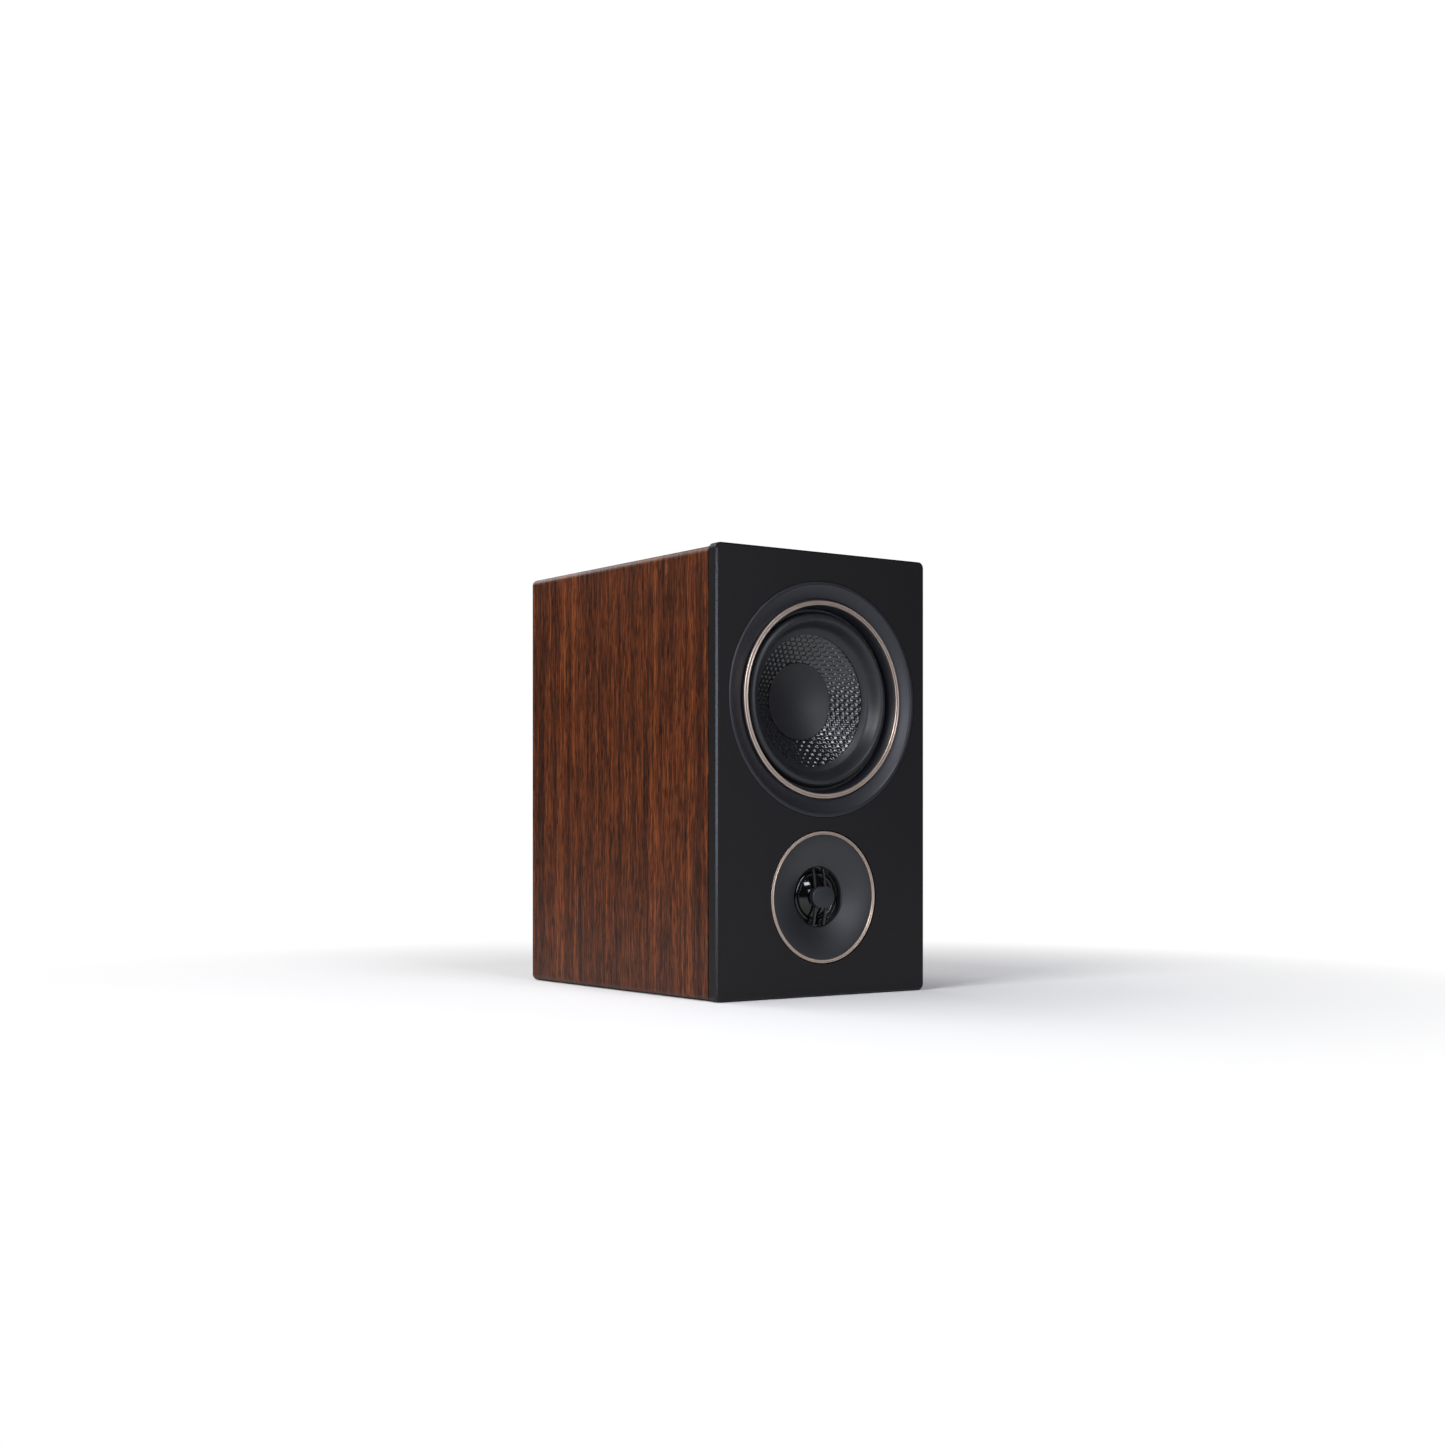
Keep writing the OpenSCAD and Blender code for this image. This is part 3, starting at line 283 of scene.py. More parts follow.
def turned_aluminium(height):
    made, tree, shader, place = material("champagne_aluminium", "#c4b3a6", 0.4, Metallic=1.0)
    centred = add(tree, "ShaderNodeVectorMath", {0: place, 1: (0.0, 0.0, height)}, operation="SUBTRACT")
    flat = add(tree, "ShaderNodeVectorMath",
               {0: centred.outputs[0], 1: (1.0, 0.0, 1.0)}, operation="MULTIPLY")
    radius = add(tree, "ShaderNodeVectorMath", {0: flat.outputs[0]}, operation="LENGTH").outputs["Value"]
    # The tool feeds 0.15 mm a turn, and is drawn at 0.3 mm so that it shows.
    groove_pitch, groove_depth, smear_size = 0.3 * MM, 0.02 * MM, 6 * MM
    groove = add(tree, "ShaderNodeMath", {0: radius, 1: 2 * math.pi / groove_pitch}, operation="MULTIPLY")
    wave = add(tree, "ShaderNodeMath", {0: groove.outputs[0]}, operation="SINE").outputs[0]
    add(tree, "ShaderNodeBump", {"Height": wave, "Strength": 0.05, "Distance": groove_depth},
        [("Normal", shader, "Normal")])
    smear = add(tree, "ShaderNodeTexNoise", {"Vector": place, "Scale": 1 / smear_size, "Detail": 2.0})
    add(tree, "ShaderNodeMapRange", {"Value": smear.outputs["Fac"], "To Min": 0.36, "To Max": 0.46},
        [(0, shader, "Roughness")])
    return made


def plated(name, colour, roughness, spot_mm=2.0):
    made, tree, shader, place = material(name, colour, roughness, Metallic=1.0)
    spots = add(tree, "ShaderNodeTexNoise", {"Vector": place, "Scale": 1 / (spot_mm * MM), "Detail": 4.0})
    add(tree, "ShaderNodeMapRange",
        {"Value": spots.outputs["Fac"], "To Min": roughness - 0.08, "To Max": roughness + 0.1},
        [(0, shader, "Roughness")])
    add(tree, "ShaderNodeBump", {"Height": spots.outputs["Fac"], "Strength": 0.15, "Distance": 0.03 * MM},
        [("Normal", shader, "Normal")])
    return made


woofer_champagne = turned_aluminium(woofer_ring.z)
tweeter_champagne = turned_aluminium(tweeter_ring.z)
gold = plated("gold_plated_brass", "#d9b36a", 0.24)
zinc = plated("zinc_plated_steel", "#b4b6b8", 0.34)
black_zinc = plated("black_zinc_steel", "#2a2a2c", 0.4)
powder_steel = moulded("black_powder_coated_steel", "#161617", 0.5, grit_mm=0.6, lift_mm=0.05)
print("made", woofer_champagne.name, gold.name, zinc.name)

# %% [markdown]
# ### Cone, cap, rubber and dome
#
# The cone is a woven fibre cloth sealed with a shiny black coating. Its weave is modelled as real bumps, so
# the material only has to be dark and fairly glossy. The cap has a soft matte coating with a dusty grain.
# The surround is butyl rubber: dark, satin, and a little bluish where it catches the light. The dome is a
# glossy coated film.

# %% Driver materials


def coated_weave():
    made, tree, shader, place = material("coated_woven_fibre", "#121316", 0.2, IOR=1.7)
    fibre = add(tree, "ShaderNodeTexNoise", {"Vector": place, "Scale": 1 / (0.3 * MM), "Detail": 2.0})
    add(tree, "ShaderNodeBump", {"Height": fibre.outputs["Fac"], "Strength": 0.3, "Distance": 0.03 * MM},
        [("Normal", shader, "Normal")])
    add(tree, "ShaderNodeMapRange", {"Value": fibre.outputs["Fac"], "To Min": 0.14, "To Max": 0.26},
        [(0, shader, "Roughness")])
    return made


def soft_coating():
    made, tree, shader, place = material("soft_touch_coating", "#0f0f11", 0.5)
    dust = add(tree, "ShaderNodeTexNoise", {"Vector": place, "Scale": 1 / (0.5 * MM), "Detail": 3.0})
    add(tree, "ShaderNodeValToRGB", {"Fac": dust.outputs["Fac"]}, [("Color", shader, "Base Color")],
        stops=[(0.35, "#0f0f11"), (0.65, "#1b1b1e")])
    add(tree, "ShaderNodeBump", {"Height": dust.outputs["Fac"], "Strength": 0.35, "Distance": 0.04 * MM},
        [("Normal", shader, "Normal")])
    return made


def butyl_rubber():
    made, tree, shader, place = material("butyl_rubber", "#13161a", 0.42, IOR=1.5)
    bloom = add(tree, "ShaderNodeTexNoise", {"Vector": place, "Scale": 1 / (4 * MM), "Detail": 5.0})
    add(tree, "ShaderNodeMapRange", {"Value": bloom.outputs["Fac"], "To Min": 0.38, "To Max": 0.52},
        [(0, shader, "Roughness")])
    skin = add(tree, "ShaderNodeTexNoise", {"Vector": place, "Scale": 1 / (0.4 * MM), "Detail": 2.0})
    add(tree, "ShaderNodeBump", {"Height": skin.outputs["Fac"], "Strength": 0.2, "Distance": 0.02 * MM},
        [("Normal", shader, "Normal")])
    return made


def glossy_film():
    made, tree, shader, place = material("glossy_dome_film", "#060607", 0.09)
    ripple = add(tree, "ShaderNodeTexNoise", {"Vector": place, "Scale": 1 / (3 * MM), "Detail": 1.0})
    add(tree, "ShaderNodeBump", {"Height": ripple.outputs["Fac"], "Strength": 0.1, "Distance": 0.03 * MM},
        [("Normal", shader, "Normal")])
    return made


cone_weave = coated_weave()
cap_coating = soft_coating()
rubber = butyl_rubber()
dome_film = glossy_film()
print("made", cone_weave.name, cap_coating.name, rubber.name, dome_film.name)

# %% [markdown]
# ### Materials inside the box
#
# The back and the inside show when the object is turned or opened. The boards are medium-density
# fibreboard, a pressed mat of fine brown fibres, with black edge paint on the rear edges and the underside.
# The wadding is loose white polyester. Ferrite is a sintered ceramic, so it is dark grey with a fine grit.

# %% Inside materials


def speckled(name, low, high, roughness, size_mm, lift_mm, **sockets):
    """A surface whose colour wanders between two values, with the same pattern raised."""
    made, tree, shader, place = material(name, low, roughness, **sockets)
    spots = add(tree, "ShaderNodeTexNoise", {"Vector": place, "Scale": 1 / (size_mm * MM), "Detail": 4.0})
    add(tree, "ShaderNodeValToRGB", {"Fac": spots.outputs["Fac"]}, [("Color", shader, "Base Color")],
        stops=[(0.35, low), (0.65, high)])
    add(tree, "ShaderNodeBump", {"Height": spots.outputs["Fac"], "Strength": 0.4, "Distance": lift_mm * MM},
        [("Normal", shader, "Normal")])
    return made


def painted_fibreboard(rear, underside, margin):
    """Fibreboard whose rear edges and underside, to that depth in metres, are painted black."""
    made = speckled("medium_density_fibreboard", "#8f7352", "#b0936d", 0.85, 0.8, 0.05)
    tree, shader = made.node_tree, made.node_tree.nodes["Principled BSDF"]
    bare = shader.inputs["Base Color"].links[0].from_socket
    place = add(tree, "ShaderNodeSeparateXYZ", {0: add(tree, "ShaderNodeTexCoord").outputs["Object"]})
    at_rear = add(tree, "ShaderNodeMath",
                  {0: place.outputs["Y"], 1: rear - margin}, operation="GREATER_THAN")
    below = add(tree, "ShaderNodeMath",
                {0: place.outputs["Z"], 1: underside + margin}, operation="LESS_THAN")
    paint = add(tree, "ShaderNodeMath", {0: at_rear.outputs[0], 1: below.outputs[0]}, operation="MAXIMUM")
    add(tree, "ShaderNodeMix", {0: paint.outputs[0], 6: bare, 7: linear("#141312")},
        [(2, shader, "Base Color")], data_type="RGBA")
    return made


fibreboard = painted_fibreboard(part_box("top_panel")[1].y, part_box("bottom_panel")[0].z, 3 * MM)
wadding = speckled("polyester_wadding", "#cfcfca", "#f0f0ec", 0.95, 3.0, 0.6, Sheen_Weight=0.5)
foam = speckled("black_foam_rubber", "#101011", "#202022", 0.9, 0.5, 0.1)
ferrite = speckled("sintered_ferrite", "#2b2c30", "#3c3d42", 0.7, 0.3, 0.03)
board_green = speckled("glass_epoxy_board", "#154429", "#1d5634", 0.4, 0.6, 0.02)
winding = speckled("enamelled_copper_winding", "#7a3a18", "#b06432", 0.35, 0.5, 0.1)
paper_former = speckled("kraft_paper_former", "#b78f58", "#c9a26b", 0.75, 0.8, 0.03)
spider_cloth = speckled("phenolic_dipped_cloth", "#a98a4c", "#c4a766", 0.8, 0.5, 0.06)
phenolic = speckled("phenolic_board", "#5a3518", "#73471f", 0.5, 1.0, 0.02)
white_nylon = speckled("white_nylon", "#dcdbd5", "#e8e7e2", 0.45, 2.0, 0.02)
cement = speckled("resistor_cement", "#d6d3ca", "#e8e5dd", 0.8, 0.8, 0.05)
capacitor_film = speckled("capacitor_sleeve", "#8f1f16", "#a02a1e", 0.3, 4.0, 0.01)
lead_red = speckled("pvc_lead_sleeve", "#851713", "#981d18", 0.4, 3.0, 0.01)
braid = speckled("tinned_copper_braid", "#a8793f", "#cf9f5f", 0.4, 0.4, 0.08, Metallic=0.8)
print("materials:", len(bpy.data.materials))

# %% [markdown]
# ## Giving the CAD nodes their materials
#
# Each node keeps its exact CAD shape unless a modelled piece replaces it further down. This table names the
# material of every node, and the loop puts it in the node's slots.

# %% Node materials
node_materials = {
    baffle_film: ["front_baffle", "back_panel"],
    foam: ["baffle_gasket", "woofer_gasket"],
    walnut: ["walnut_wrap"],
    fibreboard: ["left_panel", "right_panel", "top_panel", "bottom_panel"],
    slate_abs: ["woofer_bezel"],
    woofer_champagne: ["woofer_accent_ring"],
    tweeter_champagne: ["tweeter_accent_ring"],
    powder_steel: ["woofer_basket"],
    black_zinc: ["woofer_screws", "rear_screws"],
    rubber: ["woofer_surround"],
    cone_weave: ["woofer_cone"],
    cap_coating: ["woofer_dust_cap"],
    paper_former: ["woofer_coil_former"],
    winding: ["woofer_voice_coil", "tweeter_voice_coil", "woofer_choke", "tweeter_choke"],
    spider_cloth: ["woofer_spider"],
    zinc: ["woofer_top_plate", "woofer_yoke", "tweeter_pole_plate", "tweeter_cup", "tweeter_screws",
           "post_washers", "keyhole_plate"],
    ferrite: ["woofer_magnet", "tweeter_magnet"],
    phenolic: ["woofer_terminals"],
    braid: ["woofer_tinsel_leads"],
    dish_abs: ["tweeter_faceplate"],
    guard_abs: ["tweeter_bridge"],
    badge_abs: ["tweeter_badge"],
    dome_film: ["tweeter_dome", "tweeter_surround"],
    rear_abs: ["tweeter_rear_cap", "port_tube", "terminal_cup", "black_ring"],
    red_abs: ["red_ring"],
    gold: ["tweeter_terminals", "red_post", "black_post", "red_knob", "black_knob", "solder_tags",
           "post_nuts"],
    board_green: ["crossover_board"],
    white_nylon: ["crossover_standoffs"],
    capacitor_film: ["crossover_capacitors"],
    cement: ["crossover_resistors"],
    lead_red: ["woofer_leads", "tweeter_leads", "input_leads"],
    wadding: ["damping_pads"],
}
for finish, names in node_materials.items():
    for name in names:
        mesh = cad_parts[name].data
        if not mesh.materials:
            mesh.materials.append(finish)
        for index in range(len(mesh.materials)):
            mesh.materials[index] = finish
bare = set(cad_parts) - {name for names in node_materials.values() for name in names}
print("nodes without a material:", sorted(bare))

# %% [markdown]
# ## Tools for the new pieces
#
# A driver's parts are turned, so they are made as a lathe would make them: draw half of the section, then
# spin it round the axis. A section is a list of corners, each a radius and a depth behind the baffle's face,
# in millimetres. A third number rounds that corner, because no moulded or turned edge is perfectly sharp,
# and the rounded edges are what catch the light.

# %% Section tools


def rounded(corners, steps=4):
    """The section's points, with a short curve in place of each corner that has a third number."""
    points = []
    for i, (r, d, *cut) in enumerate(corners):
        here = Vector((r, d))
        if not cut:
            points.append(here)
            continue
        sides = [Vector(corners[(i + k) % len(corners)][:2]) - here for k in (-1, 1)]
        a, b = (here + side.normalized() * min(cut[0], side.length / 2) for side in sides)
        for k in range(steps + 1):
            t = k / steps
            points.append(a * (1 - t) ** 2 + here * 2 * t * (1 - t) + b * t ** 2)
    return points


def round_arc(r, d, radius, start, end, steps):
    """Points on a circle about (r, d), from one angle to another in degrees. 90 degrees is deeper in."""
    turns = [math.radians(start + (end - start) * k / steps) for k in range(steps + 1)]
    return [(r + radius * math.cos(t), d + radius * math.sin(t)) for t in turns]


print("a rounded square corner has", len(rounded([(0, 0), (1, 0, 0.2), (1, 1)])) - 2, "points")

# %% [markdown]
# The section is then turned. Every new piece ends in the same way: its mesh is written, its faces are
# smoothed except across sharp edges, it is tied to the body that carries it, when it has one, and the CAD
# node that it stands in for is hidden.

# %% Lathe and finish


def blank(name):
    """An empty mesh object in the scene."""
    made = bpy.data.objects.new(name, bpy.data.meshes.new(name))
    bpy.context.scene.collection.objects.link(made)
    return made


def finish_piece(made, bm, finish, body, slot, *nodes, smooth_below=35):
    """Writes the mesh, smooths it except at sharp edges, and ties the piece to its body."""
    bmesh.ops.recalc_face_normals(bm, faces=bm.faces)
    bm.to_mesh(made.data)
    bm.free()
    made.data.materials.append(finish)
    made.data.shade_smooth()
    made.data.set_sharp_from_angle(angle=math.radians(smooth_below))
    if body:
        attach(made, body)
    if nodes:
        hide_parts(*nodes)
    print(f"{made.name}: {len(made.data.polygons)} faces")
    return made


def spin(section, height, steps, closed=True):
    """A bmesh of a section in millimetres, spun round a driver's axis."""
    bm = bmesh.new()
    line = [bm.verts.new((r * MM, face_y + d * MM, height)) for r, d in section]
    for a, b in zip(line, line[1:] + line[:1] if closed else line[1:]):
        bm.edges.new((a, b))
    bmesh.ops.spin(bm, geom=bm.verts[:] + bm.edges[:], cent=(0, 0, height), axis=(0, 1, 0),
                   angle=2 * math.pi, steps=steps, use_merge=True)
    bmesh.ops.remove_doubles(bm, verts=bm.verts, dist=WELD)
    return bm


print("one full turn is", round(math.degrees(2 * math.pi)), "degrees")

# %% [markdown]
# ## Woofer bezel
#
# The bezel is one ABS moulding that hides the steel basket and its screws. Its face is a shallow dish that
# falls from a narrow raised rim towards the cone. A deep groove, one millimetre wide, separates the dish
# from the metal ring and reads as a fine black line. Inside the ring a steep skirt drops to the surround.

# %% Bezel
dish_from, dish_to = woofer_ring.out + 1.1, bezel.out - 2.2
rim_from = bezel.out - 1.8
dish_low, dish_high = 1.8, 0.1
seat_d, groove_d, flange_d = 1.3, 2.6, 3.6
skirt_r, skirt_edge = 46.0, 0.3
steps = 24
dish_line = []
for k in range(1, steps + 1):
    part = k / steps
    depth = dish_low * (1 - part ** 1.4) + dish_high * part
    dish_line.append((dish_from + (dish_to - dish_from) * part, depth))
bezel_section = rounded([
    (bezel.hole, bezel.back), (bezel.hole, bezel.back - skirt_edge), (woofer_ring.hole, seat_d, 0.3),
    (woofer_ring.out, seat_d), (woofer_ring.out + 0.05, groove_d), (dish_from, groove_d),
    (dish_from, dish_low, 0.2), *dish_line, (rim_from, bezel.front, 0.25),
    (bezel.out, bezel.front, 0.45), (bezel.out, flange_d), (skirt_r, flange_d), (skirt_r, bezel.back),
])
finish_piece(
    blank("woofer_bezel_moulding"), spin(bezel_section, bezel.z, 256), slate_abs,
    "root", "slate_plastic", "woofer_bezel")

# %% [markdown]
# ## Accent rings
#
# Both rings are turned from aluminium tube. The lathe leaves three shallow steps across each face, and the
# eye reads them as two or three fine circles.

# %% Accent rings


def accent_ring(name, size, finish, node):
    """A ring whose face has three steps, with the middle one cut deeper. Shares are of the ring's width."""
    width = size.out - size.hole
    edge_share, step_share = 0.12, 0.27
    treads = []
    for k, cut in enumerate((0.0, 0.22, 0.0)):
        start = size.out - width * (edge_share + step_share * k)
        end = start - width * step_share
        treads += [(start - 0.04, size.front + cut, 0.05), (end + 0.04, size.front + cut, 0.05)]
    section = rounded([
        (size.out, size.back), (size.out, size.front + 0.3, 0.15), *treads,
        (size.hole, size.front + 0.3, 0.15), (size.hole, size.back),
    ], steps=2)
    finish_piece(blank(name), spin(section, size.z, 256), finish, "root", "champagne_metal", node)


accent_ring("woofer_accent_ring_turned", woofer_ring, woofer_champagne, "woofer_accent_ring")
accent_ring("tweeter_accent_ring_turned", tweeter_ring, tweeter_champagne, "tweeter_accent_ring")

# %% [markdown]
# ## Surround
#
# The surround is a half-roll of rubber, moulded in one piece with a flat outer lip and an inner band. The
# lip is glued to the basket and the band to the cone. When the cone moves, the lip stays and the band goes
# along. Here the piece is tied to neither body: its placement is only baked into its mesh.

# %% Surround roll


def blend_by_radius(made):
    """Bakes the piece's placement into its mesh."""
    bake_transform(made)


thick = 0.7
lip_d, lip_width = 6.1, 3.3
crest, roll_r = (38.9, 2.9), 2.9
band_from, band_to = (33.6, 9.2), (surround.hole, 10.46)


def surround_line(t):
    """The front of the section at t = 0, or the back at t = the rubber's thickness, from the lip inwards."""
    outer = round_arc(crest[0], crest[1] + roll_r, roll_r - t, -4, -90, 14)
    # The inner slope is long and soft: half a wave from the crest to the band.
    drop = band_from[1] - crest[1]
    inner = []
    for k in range(1, 25):
        part = k / 24
        fall = drop * (0.5 - 0.5 * math.cos(math.pi * part)) * (1 - 0.12 * (1 - part))
        inner.append((crest[0] - (crest[0] - band_from[0]) * part, crest[1] + t + fall))
    lip = [(surround.out, lip_d + t), (crest[0] + lip_width, lip_d + t)]
    return [*lip, *outer, *inner, (band_to[0], band_to[1] + t)]


roll_section = surround_line(0) + surround_line(thick)[::-1]
roll_piece = finish_piece(
    blank("woofer_surround_roll"), spin(roll_section, surround.z, 240), rubber,
    None, "black_rubber", "woofer_surround")
blend_by_radius(roll_piece)

# %% [markdown]
# ## Cone
#
# The cone is pressed from a plain-weave cloth. Two sets of flat threads cross at right angles, each passing
# over one and under the next, two millimetres apart. Where a thread passes over, it stands up as a rounded
# cell, and the shiny coating makes each cell flash. The cone is spun as a smooth funnel first. Then every
# point moves along the cone's normal by the height of the thread on top at that point.

# %% Woven cone
pitch = 2.0
slope = 0.63


def weave(x, z):
    """Height of a plain weave, in millimetres, at a place seen from the front in millimetres."""
    heights = []
    # The upright threads are pulled tight, so they lie low. The level ones stand proud and wave more.
    for across, along, side, proud, wave in ((x, z, 1, 0.14, 0.09), (z, x, -1, 0.34, 0.26)):
        thread = math.floor(across / pitch)
        u = 2 * (across / pitch - thread) - 1
        crown = proud * math.sqrt(max(0.0, 1 - 0.9 * u * u))
        heights.append(crown + side * wave * math.sin(math.pi * (along / pitch + thread)))
    return max(heights)


def raise_weave(bm, height, amount):
    """Moves each point out along the cone's normal by the weave's height times amount(radius)."""
    for v in bm.verts:
        x, z = v.co.x / MM, (v.co.z - height) / MM
        r = math.hypot(x, z)
        lift = (weave(x, z) - 0.3) * amount(r) * MM
        inward = slope / math.hypot(1, slope) * lift / r
        v.co += Vector((-x * inward, -lift / math.hypot(1, slope), -z * inward))


cone_edge, cone_neck = 34.4, cap.out - 1.6
cone_d = 9.5
weave_to, smooth_from = 31.3, 34.0
steps = 68
cone_line = [
    (cone_edge + (cone_neck - cone_edge) * k / steps, cone_d + (cone_edge - cone_neck) * slope * k / steps)
    for k in range(steps + 1)
]
woven = spin(cone_line, cone.z, 720, closed=False)
# The weave fades out under the surround's band.
raise_weave(woven, cone.z,
            lambda r: 1.0 if r < weave_to else max(0.0, (smooth_from - r) / (smooth_from - weave_to)))
finish_piece(
    blank("woofer_cone_woven"), woven, cone_weave, "cone", "woven_cone", "woofer_cone", smooth_below=180)

# %% [markdown]
# ## Dust cap
#
# The cap is pressed felt with a soft coating, glued on the cone. It is dished inwards, with a rolled edge
# where the glue holds it.

# %% Dust cap
sag, felt = 4.0, 0.5
steps = 24
cap_edge = [(0.05, 0.35), (0.02, 0.12), (-0.15, 0.0)]
cap_section = [(cap.out + out, cap.front + deeper) for out, deeper in cap_edge]
cap_front = []
for k in range(steps + 1):
    part = 1 - k / steps
    cap_front.append((cap.out * part, cap.front + sag * (1 - part ** 2)))
cap_section += cap_front[1:]
cap_section += [(r, d + felt) for r, d in cap_front[::-1]]
finish_piece(
    blank("woofer_dust_cap_pressed"), spin(cap_section, cap.z, 160, closed=False), cap_coating,
    "cone", "dust_cap", "woofer_dust_cap")

# %% [markdown]
# ## Tweeter dish
#
# The dish is a short horn: it falls gently at first, then faster, and rolls over a rounded lip into the
# throat. The lip's tight curve gives the bright crescent low on the right of the mouth.

# %% Tweeter dish
mouth_r, throat_r, lip_r = 15.5, 14.1, 1.54
edge_d, fall = 0.7, 3.6
seat_d, plate_back = 1.5, 4.6
barrel_r, barrel_back = 20.0, 8.0
steps = 30
dish_curve = []
for k in range(steps + 1):
    part = k / steps
    r = tweeter_ring.hole + (mouth_r - tweeter_ring.hole) * part
    dish_curve.append((r, edge_d + fall * part ** 1.5))
dish_section = [
    (tweeter_ring.out, seat_d), (tweeter_ring.hole - 0.02, seat_d), *dish_curve,
    *round_arc(throat_r + lip_r, edge_d + fall + lip_r, lip_r, 252, 180, 10),
    (throat_r, barrel_back), (barrel_r, barrel_back), (barrel_r, plate_back), (tweeter_ring.out, plate_back),
]
bm = spin(dish_section, dish.z, 192)
# Four bosses stand on the back of the plate, one for each screw.
boss_out, boss_r, boss_from, boss_to = 25.5 * MM, 3.2 * MM, 4 * MM, 14 * MM
for angle in (45, 135, 225, 315):
    across, up = boss_out * math.cos(math.radians(angle)), boss_out * math.sin(math.radians(angle))
    centre = Matrix.Translation((across, face_y + (boss_from + boss_to) / 2, dish.z + up))
    bmesh.ops.create_cone(
        bm, cap_ends=True, segments=32, radius1=boss_r, radius2=boss_r, depth=boss_to - boss_from,
        matrix=centre @ Matrix.Rotation(math.pi / 2, 4, "X"))
finish_piece(blank("tweeter_dish_moulding"), bm, dish_abs, "root", "tweeter_plastic", "tweeter_faceplate")

# %% [markdown]
# ## Dome and its suspension
#
# The dome is pressed from a thin film and coated, so it is glossy and mirrors the lights. Round it runs a
# small half-roll, which is handled like the woofer's surround: tied to no body, its placement baked into its
# mesh.

# %% Dome
film = 0.15
base_d, rise = dome.back - film, 3.4
ball_r = (dome.out ** 2 + rise ** 2) / (2 * rise)
radii = [dome.out * math.sin(math.pi / 2 * k / 32) for k in range(33)]
dome_front = [(r, base_d - rise + ball_r - math.sqrt(ball_r ** 2 - r ** 2)) for r in radii]
dome_back = [(r, d + film) for r, d in dome_front[::-1]]
finish_piece(
    blank("tweeter_dome_pressed"), spin(dome_front + dome_back, dome.z, 128, closed=False), dome_film,
    "dome", "dome_film", "tweeter_dome")

rim_d = dome_roll.back - 0.35
bead_at, bead_r = 13.2, 0.28
crown_at, crown_width, crown_height = 11.2, 1.05, 0.7
foot_at, glue_at, glue_d, glue_r = 10.1, 9.9, 7.1, 0.25


def small_roll_line(t):
    """From the rim inwards: a bead, the low half-roll, and the bead of glue at the dome."""
    crown = []
    for degrees in range(0, 181, 10):
        turn = math.radians(degrees)
        crown.append((crown_at + crown_width * math.cos(turn), rim_d + t - crown_height * math.sin(turn)))
    return [(dome_roll.out, rim_d + t), *round_arc(bead_at, rim_d + t, bead_r, 0, -180, 8), *crown,
            (foot_at, rim_d - 0.2 + t), *round_arc(glue_at, glue_d + t, glue_r, -10, -130, 6)]


roll_section = small_roll_line(0) + small_roll_line(0.3)[::-1]
small_roll = finish_piece(
    blank("tweeter_surround_roll"), spin(roll_section, dome_roll.z, 128), dome_film,
    None, "dome_film", "tweeter_surround")
blend_by_radius(small_roll)

# %% [markdown]
# ## Bridge and badge
#
# Two thin ribs arch over the dome to keep fingers off it, and carry an oval hub. A plate is stuck on the
# hub. The plate is where a maker's name would go, and here it is bare. Hub and plate are the same shape in
# two sizes, so one function draws both: a circle is parted in the middle, and pulled up into a thick plate.

# %% Oval


def oval(bm, width, height, front, back, centre):
    """A thick oval with straight top and bottom edges, from depth front to back, in millimetres."""
    made = bmesh.ops.create_circle(bm, cap_ends=True, segments=96, radius=height / 2 * MM,
                                   matrix=Matrix.Rotation(math.pi / 2, 4, "X"))
    for v in made["verts"]:
        v.co.x += math.copysign((width - height) / 2 * MM, v.co.x)
        v.co += Vector((0, face_y + back * MM, centre))
    face = made["verts"][0].link_faces[0]
    top = bmesh.ops.extrude_face_region(bm, geom=[face])
    moved = [g for g in top["geom"] if isinstance(g, bmesh.types.BMVert)]
    bmesh.ops.translate(bm, verts=moved, vec=(0, (front - back) * MM, 0))
    return [e for v in moved for e in v.link_edges if all(o in moved for o in e.verts)]


hub_size, plate_size = (12.4, 9.4), (13.2, 10.2)
print("hub", hub_size, "and plate", plate_size, "mm")

# %% [markdown]
# The ribs start as two upright bars with many cuts. Each bar is then bent. Its front and its back fall
# towards the throat's wall, and the back falls faster, so a rib is thin in the middle and strong at its
# ends.

# %% Bridge
rib_x, rib_w = 3.05, 1.2
middle_d, middle_back = 2, 2.9
reach = math.sqrt((throat_r - 0.05) ** 2 - (rib_x + rib_w / 2) ** 2)
bm = bmesh.new()
for side in (-1, 1):
    bmesh.ops.create_cube(bm, size=1.0, matrix=Matrix.Translation((2 * side, 0, 0)))
upright = [e for e in bm.edges if abs(e.verts[0].co.z - e.verts[1].co.z) > 0.5]
bmesh.ops.subdivide_edges(bm, edges=upright, cuts=31, use_grid_fill=True)
for v in bm.verts:
    side = math.copysign(1, v.co.x)
    x = side * rib_x + (v.co.x - 2 * side) * rib_w
    u = abs(2 * v.co.z * reach / throat_r)
    depth = middle_d + 2.4 * u ** 1.7 if v.co.y < 0 else middle_back + 3.3 * u ** 1.5
    v.co = Vector((x * MM, face_y + depth * MM, dish.z + 2 * v.co.z * reach * MM))
bmesh.ops.recalc_face_normals(bm, faces=bm.faces)
sharp = [e for e in bm.edges if len(e.link_faces) == 2 and e.calc_face_angle() > 1]
bmesh.ops.bevel(bm, geom=sharp, offset=0.22 * MM, segments=3, profile=0.5, affect="EDGES", material=-1)
oval(bm, *hub_size, front=1.2, back=3.2, centre=dish.z)
finish_piece(blank("tweeter_bridge_moulding"), bm, guard_abs, "root", "tweeter_plastic", "tweeter_bridge")

